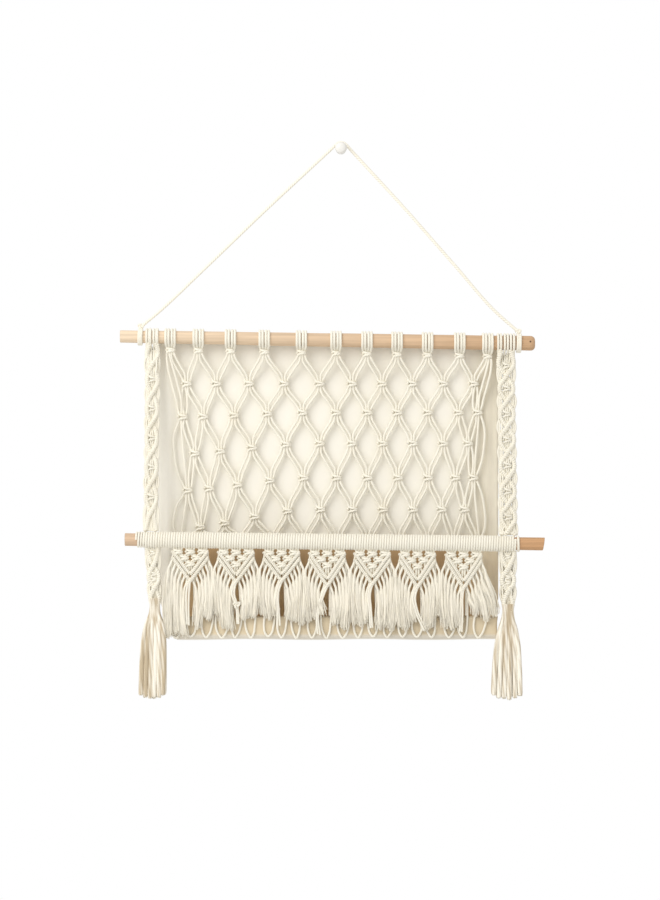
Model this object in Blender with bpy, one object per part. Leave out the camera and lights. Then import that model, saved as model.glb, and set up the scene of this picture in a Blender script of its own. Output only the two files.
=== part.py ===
"""A macrame wall shelf: two wooden rods, a knotted net over a canvas pocket, and a wall peg.

The sizes are millimetres until a point is made, when they become metres. The origin is the
middle of the peg's back face, on the wall. +Z is up and the shelf hangs in front, towards -Y.
"""

import math

import bmesh
import bpy
from mathutils import Vector

MM = 0.001
GAP = 0.35  # between two pieces that touch

# Rods: both slope a little, and the upper one is a tapered stick
UPPER = {"left": -268.0, "right": 235.5, "z_left": -228.7, "z_right": -237.2,
         "r_left": 7.5, "r_right": 8.9, "y": -17.0}
LOWER = {"left": -260.2, "right": 244.1, "z_left": -474.3, "z_right": -479.8,
         "r_left": 7.7, "r_right": 7.7, "y": -50.0}
ROD_SIDES = 12
ROD_DOME = 2.6  # how far the upper rod's right end is rounded
ROD_SLANT = 2.4  # how far the lower rod's right end is cut on a slant

# Wall peg: a flange on the wall, a shank for the cord and a round head
PEG_SIDES = 12
PEG_PROFILE = (  # distance from the wall, radius
    (0.0, 6.4),
    (2.0, 6.4),
    (2.6, 5.0),
    (15.5, 5.0),
    (16.4, 6.6),
    (19.0, 7.2),
    (21.6, 6.4),
    (23.2, 3.6),
)
PEG_SHANK_R = 5.0
CORD_Y_AT_PEG = -9.0

# Hanging cord, tied to the upper rod at both ends
CORD_R = 2.0
CORD_BEND_R = 8.4
CORD_LEAVES = (math.radians(-43), math.radians(47))  # on each side of the peg
CORD_STEP = 14.0
TIE_LEFT = (-247.0, -240.0)
TIE_RIGHT = (212.4, 219.4)

# Collars: cords looped round the upper rod
COLLAR_SIDES = 10
COLLAR_HIGH = 2.9
COLLAR_LOW = 2.0

# Net: eleven groups of four cords on the upper rod
HEADINGS_X = (-207, -173, -134, -93, -48, -6, 31.5, 68, 105, 144, 178)
HEADING_PITCH = 3.4
HEADING_KNOT = (4.5, 9.0)  # drops of the heading knot's middle and bottom below its collar
CORD_HALF = 1.4  # half a net cord
KNOT_PITCH = 2.4  # a knot draws its four cords in to this
KNOT_HEIGHT = 7.0
KNOT_DEPTH = 4.6
MEET_PITCH = 3.3  # four cords side by side that a knot does not fuse
PAIR_BOW = 1.1  # how far the cords of a pair bow apart between two rows
NET_Y = -11.5
NET_LEAN = 2.6  # the left of the net leans towards the middle
SAG_SHARE = 0.45  # the left share of the net that sags
NET_ROWS = (  # height, extra sag at the left, edge groups' places
    {"z": -286.2, "sag": 0.0, "edges": None},
    {"z": -321.3, "sag": 5.4, "edges": (-192.4, 165.8)},
    {"z": -358.8, "sag": 13.0, "edges": None},
    {"z": -400.5, "sag": 15.7, "edges": (-186.3, 160.9)},
    {"z": -439.2, "sag": 24.0, "edges": None},
    {"z": -474.0, "sag": 0.0, "edges": (-192.0, 166.0)},
)
BAR_HEIGHT = 5.0

# Canvas: hangs behind the net and turns forward into the floor of the pocket
CANVAS_HALF = 0.8
CANVAS_Y = -3.8
CANVAS_LEFT = -222.0
CANVAS_RIGHT = 191.6
CANVAS_CREASES = (  # middle, half width, how far it stands forward
    (-209.0, 5.0, 2.2),
    (178.0, 5.0, 2.0),
)
CANVAS_COLUMNS = 13
CANVAS_ROWS = 9
CANVAS_WAVE = 0.9
CANVAS_FLOOR = (  # depth and height of the turn at the foot
    (-3.8, -566.0),
    (-4.6, -580.0),
    (-9.5, -589.0),
    (-20.0, -593.6),
    (-34.0, -594.4),
    (-43.5, -593.8),
    (-46.4, -591.0),
    (-46.7, -587.0),
    (-46.8, -567.0),
)
CANVAS_CUT = {"from": -197.0, "to": -212.0, "rise": 13.0}  # the cut corner at the left
CANVAS_TAPER = {"from": -548.0, "to": -574.0, "left": 11.5, "right": 3.6, "reach": 20.0}  # at the foot

# Cord wound round the lower rod
WRAP_LEFT = -248.0
WRAP_RIGHT = 215.4
WRAP_RIDGES = 29
WRAP_HIGH = 10.1
WRAP_LOW = 9.2

# Side braids: chains of diamonds from the upper rod to the wound cord
DIAMOND = 31.5
BRAIDS = {
    "left": {"top": (-237.0, -220.9), "foot": -229.0, "half": 10.0},
    "right": {"top": (188.9, 211.3), "foot": 201.5, "half": 12.4},
}
BRAID_HALF_DEPTH = 2.2
BRAID_RIDGE = 1.5

# Tails: two diamonds, a gathered neck and a tassel
TAILS = {
    "left": {"x": -229.0, "half": 9.4, "neck": -548.0, "foot": -665.0, "pitch": 6.1},
    "right": {"x": 202.0, "half": 10.6, "neck": -555.0, "foot": -666.0, "pitch": 7.0},
}
TAIL_Y = -50.5
TAIL_LEVELS = 8
NECK_LENGTH = 20.0
NECK_HALF = 6.6
NECK_DEPTH = 2.3  # how much thicker the neck is than the flat braid, at front and at back
TASSEL_COLUMNS = 5
TASSEL_LAYERS = 3
TASSEL_STAGES = (  # share of the way down, share of the full spread
    (0.0, 0.42),
    (0.17, 0.7),
    (0.55, 0.98),
    (1.0, 1.0),
)
TASSEL_FILL = 0.44  # half a cord's width as a share of the pitch

# Chevrons under the wound cord, each with a fringe and two hanging loops
CHEVRONS = (  # middle, tip's height, how far the fringe of each side reaches out
    {"x": -181.5, "tip": -527.6, "out_left": 27.0, "out_right": 24.6},
    {"x": -126.3, "tip": -528.8, "out_left": 24.6, "out_right": 24.6},
    {"x": -71.4, "tip": -527.6, "out_left": 24.6, "out_right": 24.6},
    {"x": -16.6, "tip": -533.6, "out_left": 24.6, "out_right": 24.4},
    {"x": 37.7, "tip": -531.2, "out_left": 24.4, "out_right": 24.4},
    {"x": 92.0, "tip": -534.8, "out_left": 24.4, "out_right": 24.6},
    {"x": 147.6, "tip": -536.0, "out_left": 24.6, "out_right": 34.0},
)
CHEVRON_HALF = 22.5
CHEVRON_SIDE = 12.5
CHEVRON_FRONT = -53.2
CHEVRON_BACK = -47.8
CHEVRON_COLUMNS = 8
CHEVRON_BARS = (  # height above the lower edge, how far it stands out
    (0.0, 0.5),
    (3.5, 1.6),
    (7.0, 0.3),
    (10.5, 1.6),
)
FRINGE_PER_SIDE = 5
FRINGE_FIRST = 3.4
FRINGE_PITCH = 4.0
FRINGE_Y = -52.1
FRINGE_HALF = 1.45
FRINGE_END = 2.2
FRINGE_DEPTH = 1.2
FRINGE_Z = -575.0
FRINGE_UNEVEN = (0.0, 4.5, -2.0, 6.0, -4.0)
LOOP_Y = -49.4
LOOP_HALF = 1.4
LOOP_PATH = (  # distance from the loop's middle, height
    (-5.4, -571.0),
    (-5.6, -585.6),
    (0.0, -592.6),
    (5.6, -585.6),
    (5.4, -571.0),
)
LOOPS = (  # a loop's middle, and where its two cords start
    (-18.0, (-20.6, -14.0)),
    (0.0, (-4.0, 4.0)),
    (18.0, (14.0, 20.6)),
)

FINISHES = {  # colour, roughness
    "wood": ((0.78, 0.58, 0.38), 0.55),
    "cord": ((0.90, 0.86, 0.74), 0.9),
    "canvas": ((0.88, 0.85, 0.74), 0.92),
    "white": ((0.9, 0.9, 0.88), 0.35),
}


def clear_scene():
    for thing in list(bpy.data.objects):
        bpy.data.objects.remove(thing)


def point(bm, x, y, z):
    return bm.verts.new((x * MM, y * MM, z * MM))


def skin(bm, first, second):
    """Joins two closed rings of points that have the same count."""
    count = len(first)
    for i in range(count):
        j = (i + 1) % count
        bm.faces.new((first[i], first[j], second[j], second[i]))


def strip(bm, first, second):
    """Joins two open lines of points that have the same count."""
    for i in range(len(first) - 1):
        bm.faces.new((first[i], first[i + 1], second[i + 1], second[i]))


def square(bm, x, y, z, half):
    """A cord's section, level, with its front edge first."""
    return [
        point(bm, x - half, y - half, z),
        point(bm, x + half, y - half, z),
        point(bm, x + half, y + half, z),
        point(bm, x - half, y + half, z),
    ]


def disc(bm, x, y, z, radius, sides):
    """A ring of points round a line along X."""
    turn = 2 * math.pi / sides
    return [
        point(bm, x, y + radius * math.cos(turn * k), z + radius * math.sin(turn * k))
        for k in range(sides)
    ]


def share(low, high, value):
    return (value - low) / (high - low)


def rod_z(rod, x):
    return rod["z_left"] + (rod["z_right"] - rod["z_left"]) * share(rod["left"], rod["right"], x)


def rod_r(rod, x):
    return rod["r_left"] + (rod["r_right"] - rod["r_left"]) * share(rod["left"], rod["right"], x)


def finish_object(bm, name, finish, smooth=None):
    bmesh.ops.recalc_face_normals(bm, faces=bm.faces)
    mesh = bpy.data.meshes.new(name)
    bm.to_mesh(mesh)
    bm.free()
    thing = bpy.data.objects.new(name, mesh)
    bpy.context.scene.collection.objects.link(thing)
    colour, roughness = FINISHES[finish]
    material = bpy.data.materials.new(name)
    material.use_nodes = True
    shader = material.node_tree.nodes["Principled BSDF"]
    shader.inputs["Base Color"].default_value = (*colour, 1)
    shader.inputs["Roughness"].default_value = roughness
    mesh.materials.append(material)
    if smooth:
        mesh.shade_smooth()
        mesh.set_sharp_from_angle(angle=math.radians(smooth))
    return thing


def unite(body, extra):
    """Fuses the second object into the first."""
    bpy.context.view_layer.update()
    union = body.modifiers.new("roots", "BOOLEAN")
    union.operation = "UNION"
    union.object = extra
    fused = bpy.data.meshes.new_from_object(body.evaluated_get(bpy.context.evaluated_depsgraph_get()))
    fused.name = body.name
    body.modifiers.clear()
    body.data = fused
    bpy.data.objects.remove(extra)


def build_rod(name, rod, dome, slant):
    """A stick of round section, with a square left end."""
    bm = bmesh.new()
    rings = []
    stations = [(rod["left"], 0.6), (rod["left"] + 0.6, 0.0), (rod["right"] - max(dome, slant, 0.6), 0.0)]
    if dome:
        stations += [(rod["right"] - dome * 0.35, 1.1)]
    stations += [(rod["right"], max(dome, 0.5))]
    for x, less in stations:
        ring = disc(bm, x, rod["y"], rod_z(rod, x), rod_r(rod, x) - less, ROD_SIDES)
        rings.append(ring)
    for vert in rings[-1]:
        vert.co.x += slant * MM * (vert.co.z / MM - rod_z(rod, rod["right"])) / rod["r_right"] * 0.5
    for first, second in zip(rings, rings[1:]):
        skin(bm, first, second)
    bm.faces.new(rings[0])
    bm.faces.new(rings[-1])
    return finish_object(bm, name, "wood", 40)


def build_peg():
    bm = bmesh.new()
    turn = 2 * math.pi / PEG_SIDES
    rings = []
    for depth, radius in PEG_PROFILE:
        ring = [
            point(bm, radius * math.cos(turn * k), -depth, radius * math.sin(turn * k))
            for k in range(PEG_SIDES)
        ]
        rings.append(ring)
    for first, second in zip(rings, rings[1:]):
        skin(bm, first, second)
    bm.faces.new(rings[0])
    bm.faces.new(rings[-1])
    return finish_object(bm, "wall_peg", "white", 35)


def collar(bm, x_lines, open_foot):
    """Cords looped side by side round the upper rod, as one ridged ring.

    Every second line across the ring stands high. An open foot leaves out the lowest outer
    faces and returns their front and back lines, for what hangs from them.
    """
    turn = 2 * math.pi / COLLAR_SIDES
    outer = []
    inner = []
    for k in range(COLLAR_SIDES):
        angle = -math.pi / 2 + turn * (k + 0.5)
        line = []
        for j, x in enumerate(x_lines):
            rise = COLLAR_HIGH if j % 2 else COLLAR_LOW
            radius = rod_r(UPPER, x) + GAP + rise
            z = rod_z(UPPER, x) + radius * math.sin(angle)
            line.append(point(bm, x, UPPER["y"] + radius * math.cos(angle), z))
        outer.append(line)
        ends = []
        for x in (x_lines[0], x_lines[-1]):
            radius = (rod_r(UPPER, x) + GAP) / math.cos(turn / 2)
            z = rod_z(UPPER, x) + radius * math.sin(angle)
            ends.append(point(bm, x, UPPER["y"] + radius * math.cos(angle), z))
        inner.append(ends)
    for k in range(COLLAR_SIDES):
        after = (k + 1) % COLLAR_SIDES
        if after or not open_foot:
            strip(bm, outer[k], outer[after])
        strip(bm, inner[k], inner[after])
        bm.faces.new((outer[k][0], inner[k][0], inner[after][0], outer[after][0]))
        bm.faces.new((outer[k][-1], inner[k][-1], inner[after][-1], outer[after][-1]))
    return outer[-1], outer[0]


def block(bm, front, back, levels):
    """A knot's ridged sides: lines of points joined from level to level, open above and below."""
    for next_front, next_back in levels:
        strip(bm, front, next_front)
        strip(bm, back, next_back)
        bm.faces.new((front[0], back[0], next_back[0], next_front[0]))
        bm.faces.new((front[-1], back[-1], next_back[-1], next_front[-1]))
        front = next_front
        back = next_back
    return front, back


def knot_lines(bm, x, y, z, pitch, half_depth, ridge):
    """The front and back lines of a knot at one level, with ridges on every second point."""
    front = []
    back = []
    for j in range(5):
        out = half_depth + (ridge if j % 2 else 0.0)
        front.append(point(bm, x + (j - 2) * pitch, y - out, z))
        back.append(point(bm, x + (j - 2) * pitch, y + out, z))
    return front, back


def quads(front, back):
    """The four square roots of a knot's cords."""
    return [[front[j], front[j + 1], back[j + 1], back[j]] for j in range(4)]


def net_layout():
    """The places of the net's groups of cords, row by row, as lists of (x, z)."""
    above = list(HEADINGS_X)
    rows = []
    span = (HEADINGS_X[0], HEADINGS_X[-1])
    for row in NET_ROWS:
        middles = []
        for a, b in zip(above, above[1:]):
            x = (a + b) / 2
            middles.append(x + NET_LEAN * (1 - share(*span, x)) ** 2)
        if row["edges"]:
            middles = [row["edges"][0], *middles, row["edges"][1]]
        places = []
        for x in middles:
            fade = min(1.0, max(0.0, share(*span, x)) / SAG_SHARE)
            places.append((x, row["z"] - row["sag"] * (0.5 + 0.5 * math.cos(math.pi * fade))))
        rows.append(places)
        above = middles
    return rows


def run_cord(bm, start, stops, end):
    """Joins square sections from a root down through the stops to another root."""
    ring = start
    for x, y, z in stops:
        after = square(bm, x, y, z, CORD_HALF)
        skin(bm, ring, after)
        ring = after
    skin(bm, ring, end)


def bowed(a, b, column):
    """The middle of a cord's run, bowed away from the other cord of its pair."""
    away = -PAIR_BOW if column % 2 == 0 else PAIR_BOW
    return ((a[0] + b[0]) / 2 + away, (a[1] + b[1]) / 2, (a[2] + b[2]) / 2)


def build_net():
    bm = bmesh.new()
    rows = net_layout()
    count = len(HEADINGS_X) * 4
    roots = [None] * count
    last = [None] * count
    waits = {}
    for group, x in enumerate(HEADINGS_X):
        lines = [x + (j - 2) * HEADING_PITCH for j in range(5)]
        front, back = collar(bm, lines, True)
        top = rod_z(UPPER, x) - rod_r(UPPER, x) - GAP - COLLAR_HIGH
        middle = knot_lines(bm, x, UPPER["y"], top - HEADING_KNOT[0], KNOT_PITCH, 2.2, 1.0)
        foot = knot_lines(bm, x, UPPER["y"], top - HEADING_KNOT[1], KNOT_PITCH, 1.5, 0.0)
        front, back = block(bm, front, back, (middle, foot))
        for column, root in enumerate(quads(front, back)):
            roots[group * 4 + column] = root
            at = (x + (column - 1.5) * KNOT_PITCH, UPPER["y"], top - HEADING_KNOT[1])
            last[group * 4 + column] = at
    for number, places in enumerate(rows[:-1]):
        fused = number % 2 == 0
        if fused:
            knots = []
            for x, z in places:
                half = KNOT_HEIGHT / 2
                above = knot_lines(bm, x, NET_Y, z + half, KNOT_PITCH, 1.5, 0.0)
                middle = knot_lines(bm, x, NET_Y, z, KNOT_PITCH * 1.15, KNOT_DEPTH / 2 - 0.6, 0.9)
                foot = knot_lines(bm, x, NET_Y, z - half, KNOT_PITCH, 1.5, 0.0)
                block(bm, *above, (middle, foot))
                knots.append((quads(*above), quads(*foot)))
        for cord in range(count):
            if fused:
                slot = cord - 2
                inside = 0 <= slot < len(places) * 4
            else:
                slot = cord
                inside = True
            column = slot % 4
            if fused and inside:
                x, z = places[slot // 4]
                knot_top, knot_foot = knots[slot // 4]
                goal = (x + (column - 1.5) * KNOT_PITCH, NET_Y, z + KNOT_HEIGHT / 2)
                stops = waits.pop(cord, [])
                stops.append(bowed(last[cord], goal, column))
                run_cord(bm, roots[cord], stops, knot_top[column])
                roots[cord] = knot_foot[column]
                last[cord] = (goal[0], NET_Y, z - KNOT_HEIGHT / 2)
            elif inside:
                x, z = places[slot // 4]
                goal = (x + (column - 1.5) * MEET_PITCH, NET_Y, z)
                stops = waits.setdefault(cord, [])
                stops.append(bowed(last[cord], goal, column))
                stops.append(goal)
                last[cord] = goal
    places = rows[-1]
    slots = []
    for group, (x, z) in enumerate(places):
        for column in range(4):
            slots.append((x + (column - 1.5) * MEET_PITCH, z))
    front = []
    back = []
    for cord, (x, z) in enumerate(slots):
        section = square(bm, x, NET_Y, NET_ROWS[-1]["z"] + BAR_HEIGHT / 2, CORD_HALF)
        run_cord(bm, roots[cord], waits.pop(cord, []), section)
        front += section[:2]
        back += [section[3], section[2]]
    for j in range(1, len(front) - 1, 2):
        bm.faces.new((front[j], front[j + 1], back[j + 1], back[j]))
    foot = NET_ROWS[-1]["z"] - BAR_HEIGHT / 2
    low = square(bm, 0, NET_Y, foot, CORD_HALF)
    for corner, x in zip(low, (slots[0][0], slots[-1][0], slots[-1][0], slots[0][0])):
        corner.co.x = (x + (CORD_HALF if x > 0 else -CORD_HALF)) * MM
    bm.faces.new([*front, low[1], low[0]])
    bm.faces.new([*back, low[2], low[3]])
    bm.faces.new((front[0], back[0], low[3], low[0]))
    bm.faces.new((front[-1], back[-1], low[2], low[1]))
    bm.faces.new(low)
    return finish_object(bm, "net", "cord")


def canvas_depth(x, z):
    """How far the canvas stands forward at a place, from its creases and soft waves."""
    fall = min(1.0, max(0.0, (-245.0 - z) / 60.0))
    forward = 0.0
    for middle, half, height in CANVAS_CREASES:
        forward += height * max(0.0, 1 - abs(x - middle) / half)
    wave = 0.5 + 0.5 * math.sin(x / 34.0 + z / 90.0)
    return fall * (forward + CANVAS_WAVE * wave)


def canvas_x():
    """The columns of the canvas, closer together at its two creases."""
    inner = [CANVAS_CREASES[0][0] + CANVAS_CREASES[0][1], CANVAS_CREASES[1][0] - CANVAS_CREASES[1][1]]
    step = (inner[1] - inner[0]) / CANVAS_COLUMNS
    middle = [inner[0] + step * k for k in range(CANVAS_COLUMNS + 1)]
    left = [CANVAS_LEFT, CANVAS_CREASES[0][0] - CANVAS_CREASES[0][1], CANVAS_CREASES[0][0]]
    right = [CANVAS_CREASES[1][0], CANVAS_CREASES[1][0] + CANVAS_CREASES[1][1], CANVAS_RIGHT]
    return [*left, *middle, *right]


def canvas_edge(x, z):
    """Draws the two edges of the canvas in towards its foot."""
    left = max(0.0, 1 - (x - CANVAS_LEFT) / CANVAS_TAPER["reach"])
    right = max(0.0, 1 - (CANVAS_RIGHT - x) / CANVAS_TAPER["reach"])
    down = min(1.0, max(0.0, share(CANVAS_TAPER["from"], CANVAS_TAPER["to"], z)))
    return x + (CANVAS_TAPER["left"] * left - CANVAS_TAPER["right"] * right) * down


def canvas_section(x):
    """The canvas from its top edge down its back, along the floor and up the front hem."""
    top = rod_z(UPPER, x) + 2.0
    start = CANVAS_FLOOR[0][1]
    line = []
    for k in range(CANVAS_ROWS):
        z = top + (start - top) * k / CANVAS_ROWS
        line.append((CANVAS_Y - canvas_depth(x, z), z))
    cut = min(1.0, max(0.0, share(CANVAS_CUT["from"], CANVAS_CUT["to"], x)))
    for depth, z in CANVAS_FLOOR:
        fade = max(0.0, 1 - (z - CANVAS_FLOOR[4][1]) / (start - CANVAS_FLOOR[4][1]))
        lift = CANVAS_CUT["rise"] * cut * fade + 0.5 * math.sin(x / 23.0) * fade
        back = canvas_depth(x, z) * (1 - fade) if depth > CANVAS_FLOOR[4][0] else 0.0
        line.append((depth - back, z + lift))
    return line


def build_canvas():
    bm = bmesh.new()
    front = []
    back = []
    for x in canvas_x():
        line = canvas_section(x)
        front_line = []
        back_line = []
        for i, (y, z) in enumerate(line):
            before = line[max(i - 1, 0)]
            after = line[min(i + 1, len(line) - 1)]
            along = Vector((after[0] - before[0], after[1] - before[1])).normalized()
            out = Vector((along.y, -along.x)) * CANVAS_HALF
            edge = canvas_edge(x, z)
            front_line.append(point(bm, edge, y + out.x, z + out.y))
            back_line.append(point(bm, edge, y - out.x, z - out.y))
        front.append(front_line)
        back.append(back_line)
    for k in range(len(front) - 1):
        strip(bm, front[k], front[k + 1])
        strip(bm, back[k], back[k + 1])
        for end in (0, -1):
            bm.faces.new((front[k][end], back[k][end], back[k + 1][end], front[k + 1][end]))
    strip(bm, front[0], back[0])
    strip(bm, front[-1], back[-1])
    return finish_object(bm, "canvas", "canvas")


def build_wrap():
    """Turns of cord side by side round the lower rod, raised as ridges."""
    bm = bmesh.new()
    outer = []
    step = (WRAP_RIGHT - WRAP_LEFT) / (WRAP_RIDGES * 2)
    for k in range(WRAP_RIDGES * 2 + 1):
        x = WRAP_LEFT + step * k
        radius = WRAP_HIGH if k % 2 else WRAP_LOW
        outer.append(disc(bm, x, LOWER["y"], rod_z(LOWER, x), radius, ROD_SIDES))
    for first, second in zip(outer, outer[1:]):
        skin(bm, first, second)
    inner = []
    for x in (WRAP_LEFT, WRAP_RIGHT):
        inner.append(disc(bm, x, LOWER["y"], rod_z(LOWER, x), rod_r(LOWER, x) + GAP, ROD_SIDES))
    skin(bm, *inner)
    skin(bm, outer[0], inner[0])
    skin(bm, outer[-1], inner[-1])
    return finish_object(bm, "rod_wrap", "cord")


def strap_lines(bm, x, y, z, half, ridge):
    """One level of a braid: five ridged points in front and two behind."""
    front = []
    for j in range(5):
        out = BRAID_HALF_DEPTH + ridge[j]
        front.append(point(bm, x + half * (j - 2) / 2, y - out, z))
    back = [
        point(bm, x - half, y + BRAID_HALF_DEPTH, z),
        point(bm, x + half, y + BRAID_HALF_DEPTH, z),
    ]
    return front, back


def diamond_level(phase):
    """How far each point across a braid is raised, and how wide the braid is, at a phase."""
    high = BRAID_RIDGE
    levels = (
        ((0.0, 0.4, high, 0.4, 0.0), 0.84),
        ((0.2, high, 0.2, high, 0.2), 0.94),
        ((high, 0.1, high, 0.1, high), 1.0),
        ((0.2, high, 0.2, high, 0.2), 0.94),
    )
    return levels[phase % 4]


def braid_levels(bm, front, back, stations):
    """Carries a braid from level to level and returns its last lines."""
    for x, y, z, half, ridge in stations:
        next_front, next_back = strap_lines(bm, x, y, z, half, ridge)
        strip(bm, front, next_front)
        bm.faces.new([*back, next_back[1], next_back[0]])
        bm.faces.new((front[0], back[0], next_back[0], next_front[0]))
        bm.faces.new((front[-1], back[-1], next_back[1], next_front[-1]))
        front = next_front
        back = next_back
    return front, back


def build_braid(side, braid):
    """A side braid, looped on the upper rod and running down to the wound cord."""
    bm = bmesh.new()
    low, high = braid["top"]
    lines = [low + (high - low) * j / 4 for j in range(5)]
    front, back = collar(bm, lines, True)
    x_top = (low + high) / 2
    top = rod_z(UPPER, x_top) - rod_r(UPPER, x_top) - COLLAR_HIGH - 3.5
    foot = rod_z(LOWER, braid["foot"]) + WRAP_HIGH + GAP
    count = round((top - foot) / (DIAMOND / 4))
    stations = []
    for k in range(count + 1):
        along = k / count
        ridge, width = diamond_level(k)
        x = x_top + (braid["foot"] - x_top) * along
        y = UPPER["y"] + (LOWER["y"] - UPPER["y"]) * along
        stations.append((x, y, top + (foot - top) * along, braid["half"] * width, ridge))
    front, back = braid_levels(bm, front, back, stations)
    bm.faces.new([*front, back[1], back[0]])
    return finish_object(bm, "braid_" + side, "cord")


def thicken(lines, more):
    """Moves the front and back lines of a level apart."""
    for vert in lines[0]:
        vert.co.y -= more * MM
    for vert in lines[1]:
        vert.co.y += more * MM


def tassel_cords(tail, top):
    """The tassel's cords, close together at the neck and spread below it."""
    bm = bmesh.new()
    for column in range(TASSEL_COLUMNS):
        across = column - (TASSEL_COLUMNS - 1) / 2
        for layer in range(TASSEL_LAYERS):
            deep = layer - (TASSEL_LAYERS - 1) / 2
            foot = tail["foot"] + 3.0 * math.sin(column * 2.1 + layer * 1.3)
            rings = []
            for down, spread in TASSEL_STAGES:
                pitch = tail["pitch"] * spread
                z = top + (foot - top) * down
                half = pitch * TASSEL_FILL
                rings.append(square(bm, tail["x"] + across * pitch, TAIL_Y + deep * pitch, z, half))
            for first, second in zip(rings, rings[1:]):
                skin(bm, first, second)
            bm.faces.new(rings[0])
            bm.faces.new(rings[-1])
    return finish_object(bm, "tassel_cords", "cord")


def build_tail(side, tail):
    """Two diamonds and a neck below the wound cord, with a tassel fused to the neck's foot."""
    bm = bmesh.new()
    top = rod_z(LOWER, tail["x"]) - WRAP_HIGH - GAP
    flat = (0.4, 0.4, 0.4, 0.4, 0.4)
    front, back = strap_lines(bm, tail["x"], TAIL_Y, top, tail["half"] * 0.9, flat)
    bm.faces.new([*front, back[1], back[0]])
    stations = []
    for k in range(1, TAIL_LEVELS):
        ridge, width = diamond_level(k)
        z = top + (tail["neck"] + 5.0 - top) * k / TAIL_LEVELS
        stations.append((tail["x"], TAIL_Y, z, tail["half"] * width, ridge))
    front, back = braid_levels(bm, front, back, stations)
    foot = tail["neck"] - NECK_LENGTH
    for z, half in ((tail["neck"], NECK_HALF * 0.85), (foot + 6.0, NECK_HALF), (foot, NECK_HALF * 1.1)):
        lines = strap_lines(bm, tail["x"], TAIL_Y, z, half, flat)
        thicken(lines, NECK_DEPTH)
        strip(bm, front, lines[0])
        bm.faces.new([*back, lines[1][1], lines[1][0]])
        bm.faces.new((front[0], back[0], lines[1][0], lines[0][0]))
        bm.faces.new((front[-1], back[-1], lines[1][1], lines[0][-1]))
        front, back = lines
    bm.faces.new([*front, back[1], back[0]])
    body = finish_object(bm, "tassel_" + side, "cord")
    unite(body, tassel_cords(tail, foot + 4.0))
    return body


def edge_z(chevron, x):
    """The height of a chevron's lower edge at a distance from its middle."""
    top = rod_z(LOWER, chevron["x"]) - WRAP_HIGH - GAP
    side = top - CHEVRON_SIDE
    return chevron["tip"] + (side - chevron["tip"]) * min(1.0, abs(x) / CHEVRON_HALF)


def chevron_plate(chevron):
    """A V of knotted cords: two bars along each arm under a field of small knots."""
    bm = bmesh.new()
    step = 2 * CHEVRON_HALF / CHEVRON_COLUMNS
    columns = []
    backs = []
    for k in range(CHEVRON_COLUMNS + 1):
        x = -CHEVRON_HALF + step * k
        low = edge_z(chevron, x)
        high = rod_z(LOWER, chevron["x"] + x) - WRAP_HIGH - GAP
        levels = [(low + up, out) for up, out in CHEVRON_BARS]
        levels.append(((levels[-1][0] + high) / 2, 1.2 if k % 2 else 0.2))
        levels.append((high, 0.6))
        columns.append([point(bm, chevron["x"] + x, CHEVRON_FRONT - out, z) for z, out in levels])
        backs.append([point(bm, chevron["x"] + x, CHEVRON_BACK, z) for z in (low, high)])
    for k in range(CHEVRON_COLUMNS):
        strip(bm, columns[k], columns[k + 1])
        strip(bm, backs[k], backs[k + 1])
        bm.faces.new((columns[k][0], backs[k][0], backs[k + 1][0], columns[k + 1][0]))
        bm.faces.new((columns[k][-1], backs[k][-1], backs[k + 1][-1], columns[k + 1][-1]))
    for k in (0, -1):
        bm.faces.new([*columns[k], backs[k][1], backs[k][0]])
    return bm


def tube(bm, stops, y, depth, half, end_half):
    """A cord of four sides through places given as (x, z), of half a depth and half a width."""
    rings = []
    for k, (x, z) in enumerate(stops):
        before = stops[max(k - 1, 0)]
        after = stops[min(k + 1, len(stops) - 1)]
        along = Vector((after[0] - before[0], after[1] - before[1])).normalized()
        size = half + (end_half - half) * k / (len(stops) - 1)
        side = Vector((-along.y, along.x)) * size
        ring = [
            point(bm, x - side.x, y - depth, z - side.y),
            point(bm, x + side.x, y - depth, z + side.y),
            point(bm, x + side.x, y + depth, z + side.y),
            point(bm, x - side.x, y + depth, z - side.y),
        ]
        rings.append(ring)
    for first, second in zip(rings, rings[1:]):
        skin(bm, first, second)
    bm.faces.new(rings[0])
    bm.faces.new(rings[-1])


def build_chevron(number, chevron):
    """A chevron with its fringe and the three cord loops that reach down to the pocket's hem."""
    body = finish_object(chevron_plate(chevron), f"chevron_{number}", "cord")
    bm = bmesh.new()
    middle = chevron["x"]
    for side, reach in ((-1, chevron["out_left"]), (1, chevron["out_right"])):
        for k in range(FRINGE_PER_SIDE):
            root = FRINGE_FIRST + FRINGE_PITCH * k
            first = FRINGE_FIRST + 2.8
            end = first + (reach - first) * k / (FRINGE_PER_SIDE - 1)
            foot = FRINGE_Z + FRINGE_UNEVEN[(k + number) % FRINGE_PER_SIDE]
            start = edge_z(chevron, root) + 2.6
            bend = (start + foot) / 2 - 4.0
            stops = (
                (middle + side * root, start),
                (middle + side * (root + (end - root) * 0.6), bend),
                (middle + side * end, foot),
            )
            tube(bm, stops, FRINGE_Y, FRINGE_DEPTH, FRINGE_HALF, FRINGE_END)
    for across, roots in LOOPS:
        first, last = ((middle + root, edge_z(chevron, root) + 2.6) for root in roots)
        stops = [first, *((middle + across + x, z) for x, z in LOOP_PATH), last]
        tube(bm, stops, LOOP_Y, LOOP_HALF, LOOP_HALF, LOOP_HALF)
    unite(body, finish_object(bm, "fringe", "cord"))
    return body


def build_tie(name, span):
    """The hanging cord's turns round the upper rod."""
    bm = bmesh.new()
    lines = [span[0] + (span[1] - span[0]) * j / 4 for j in range(5)]
    collar(bm, lines, False)
    return finish_object(bm, name, "cord")


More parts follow.
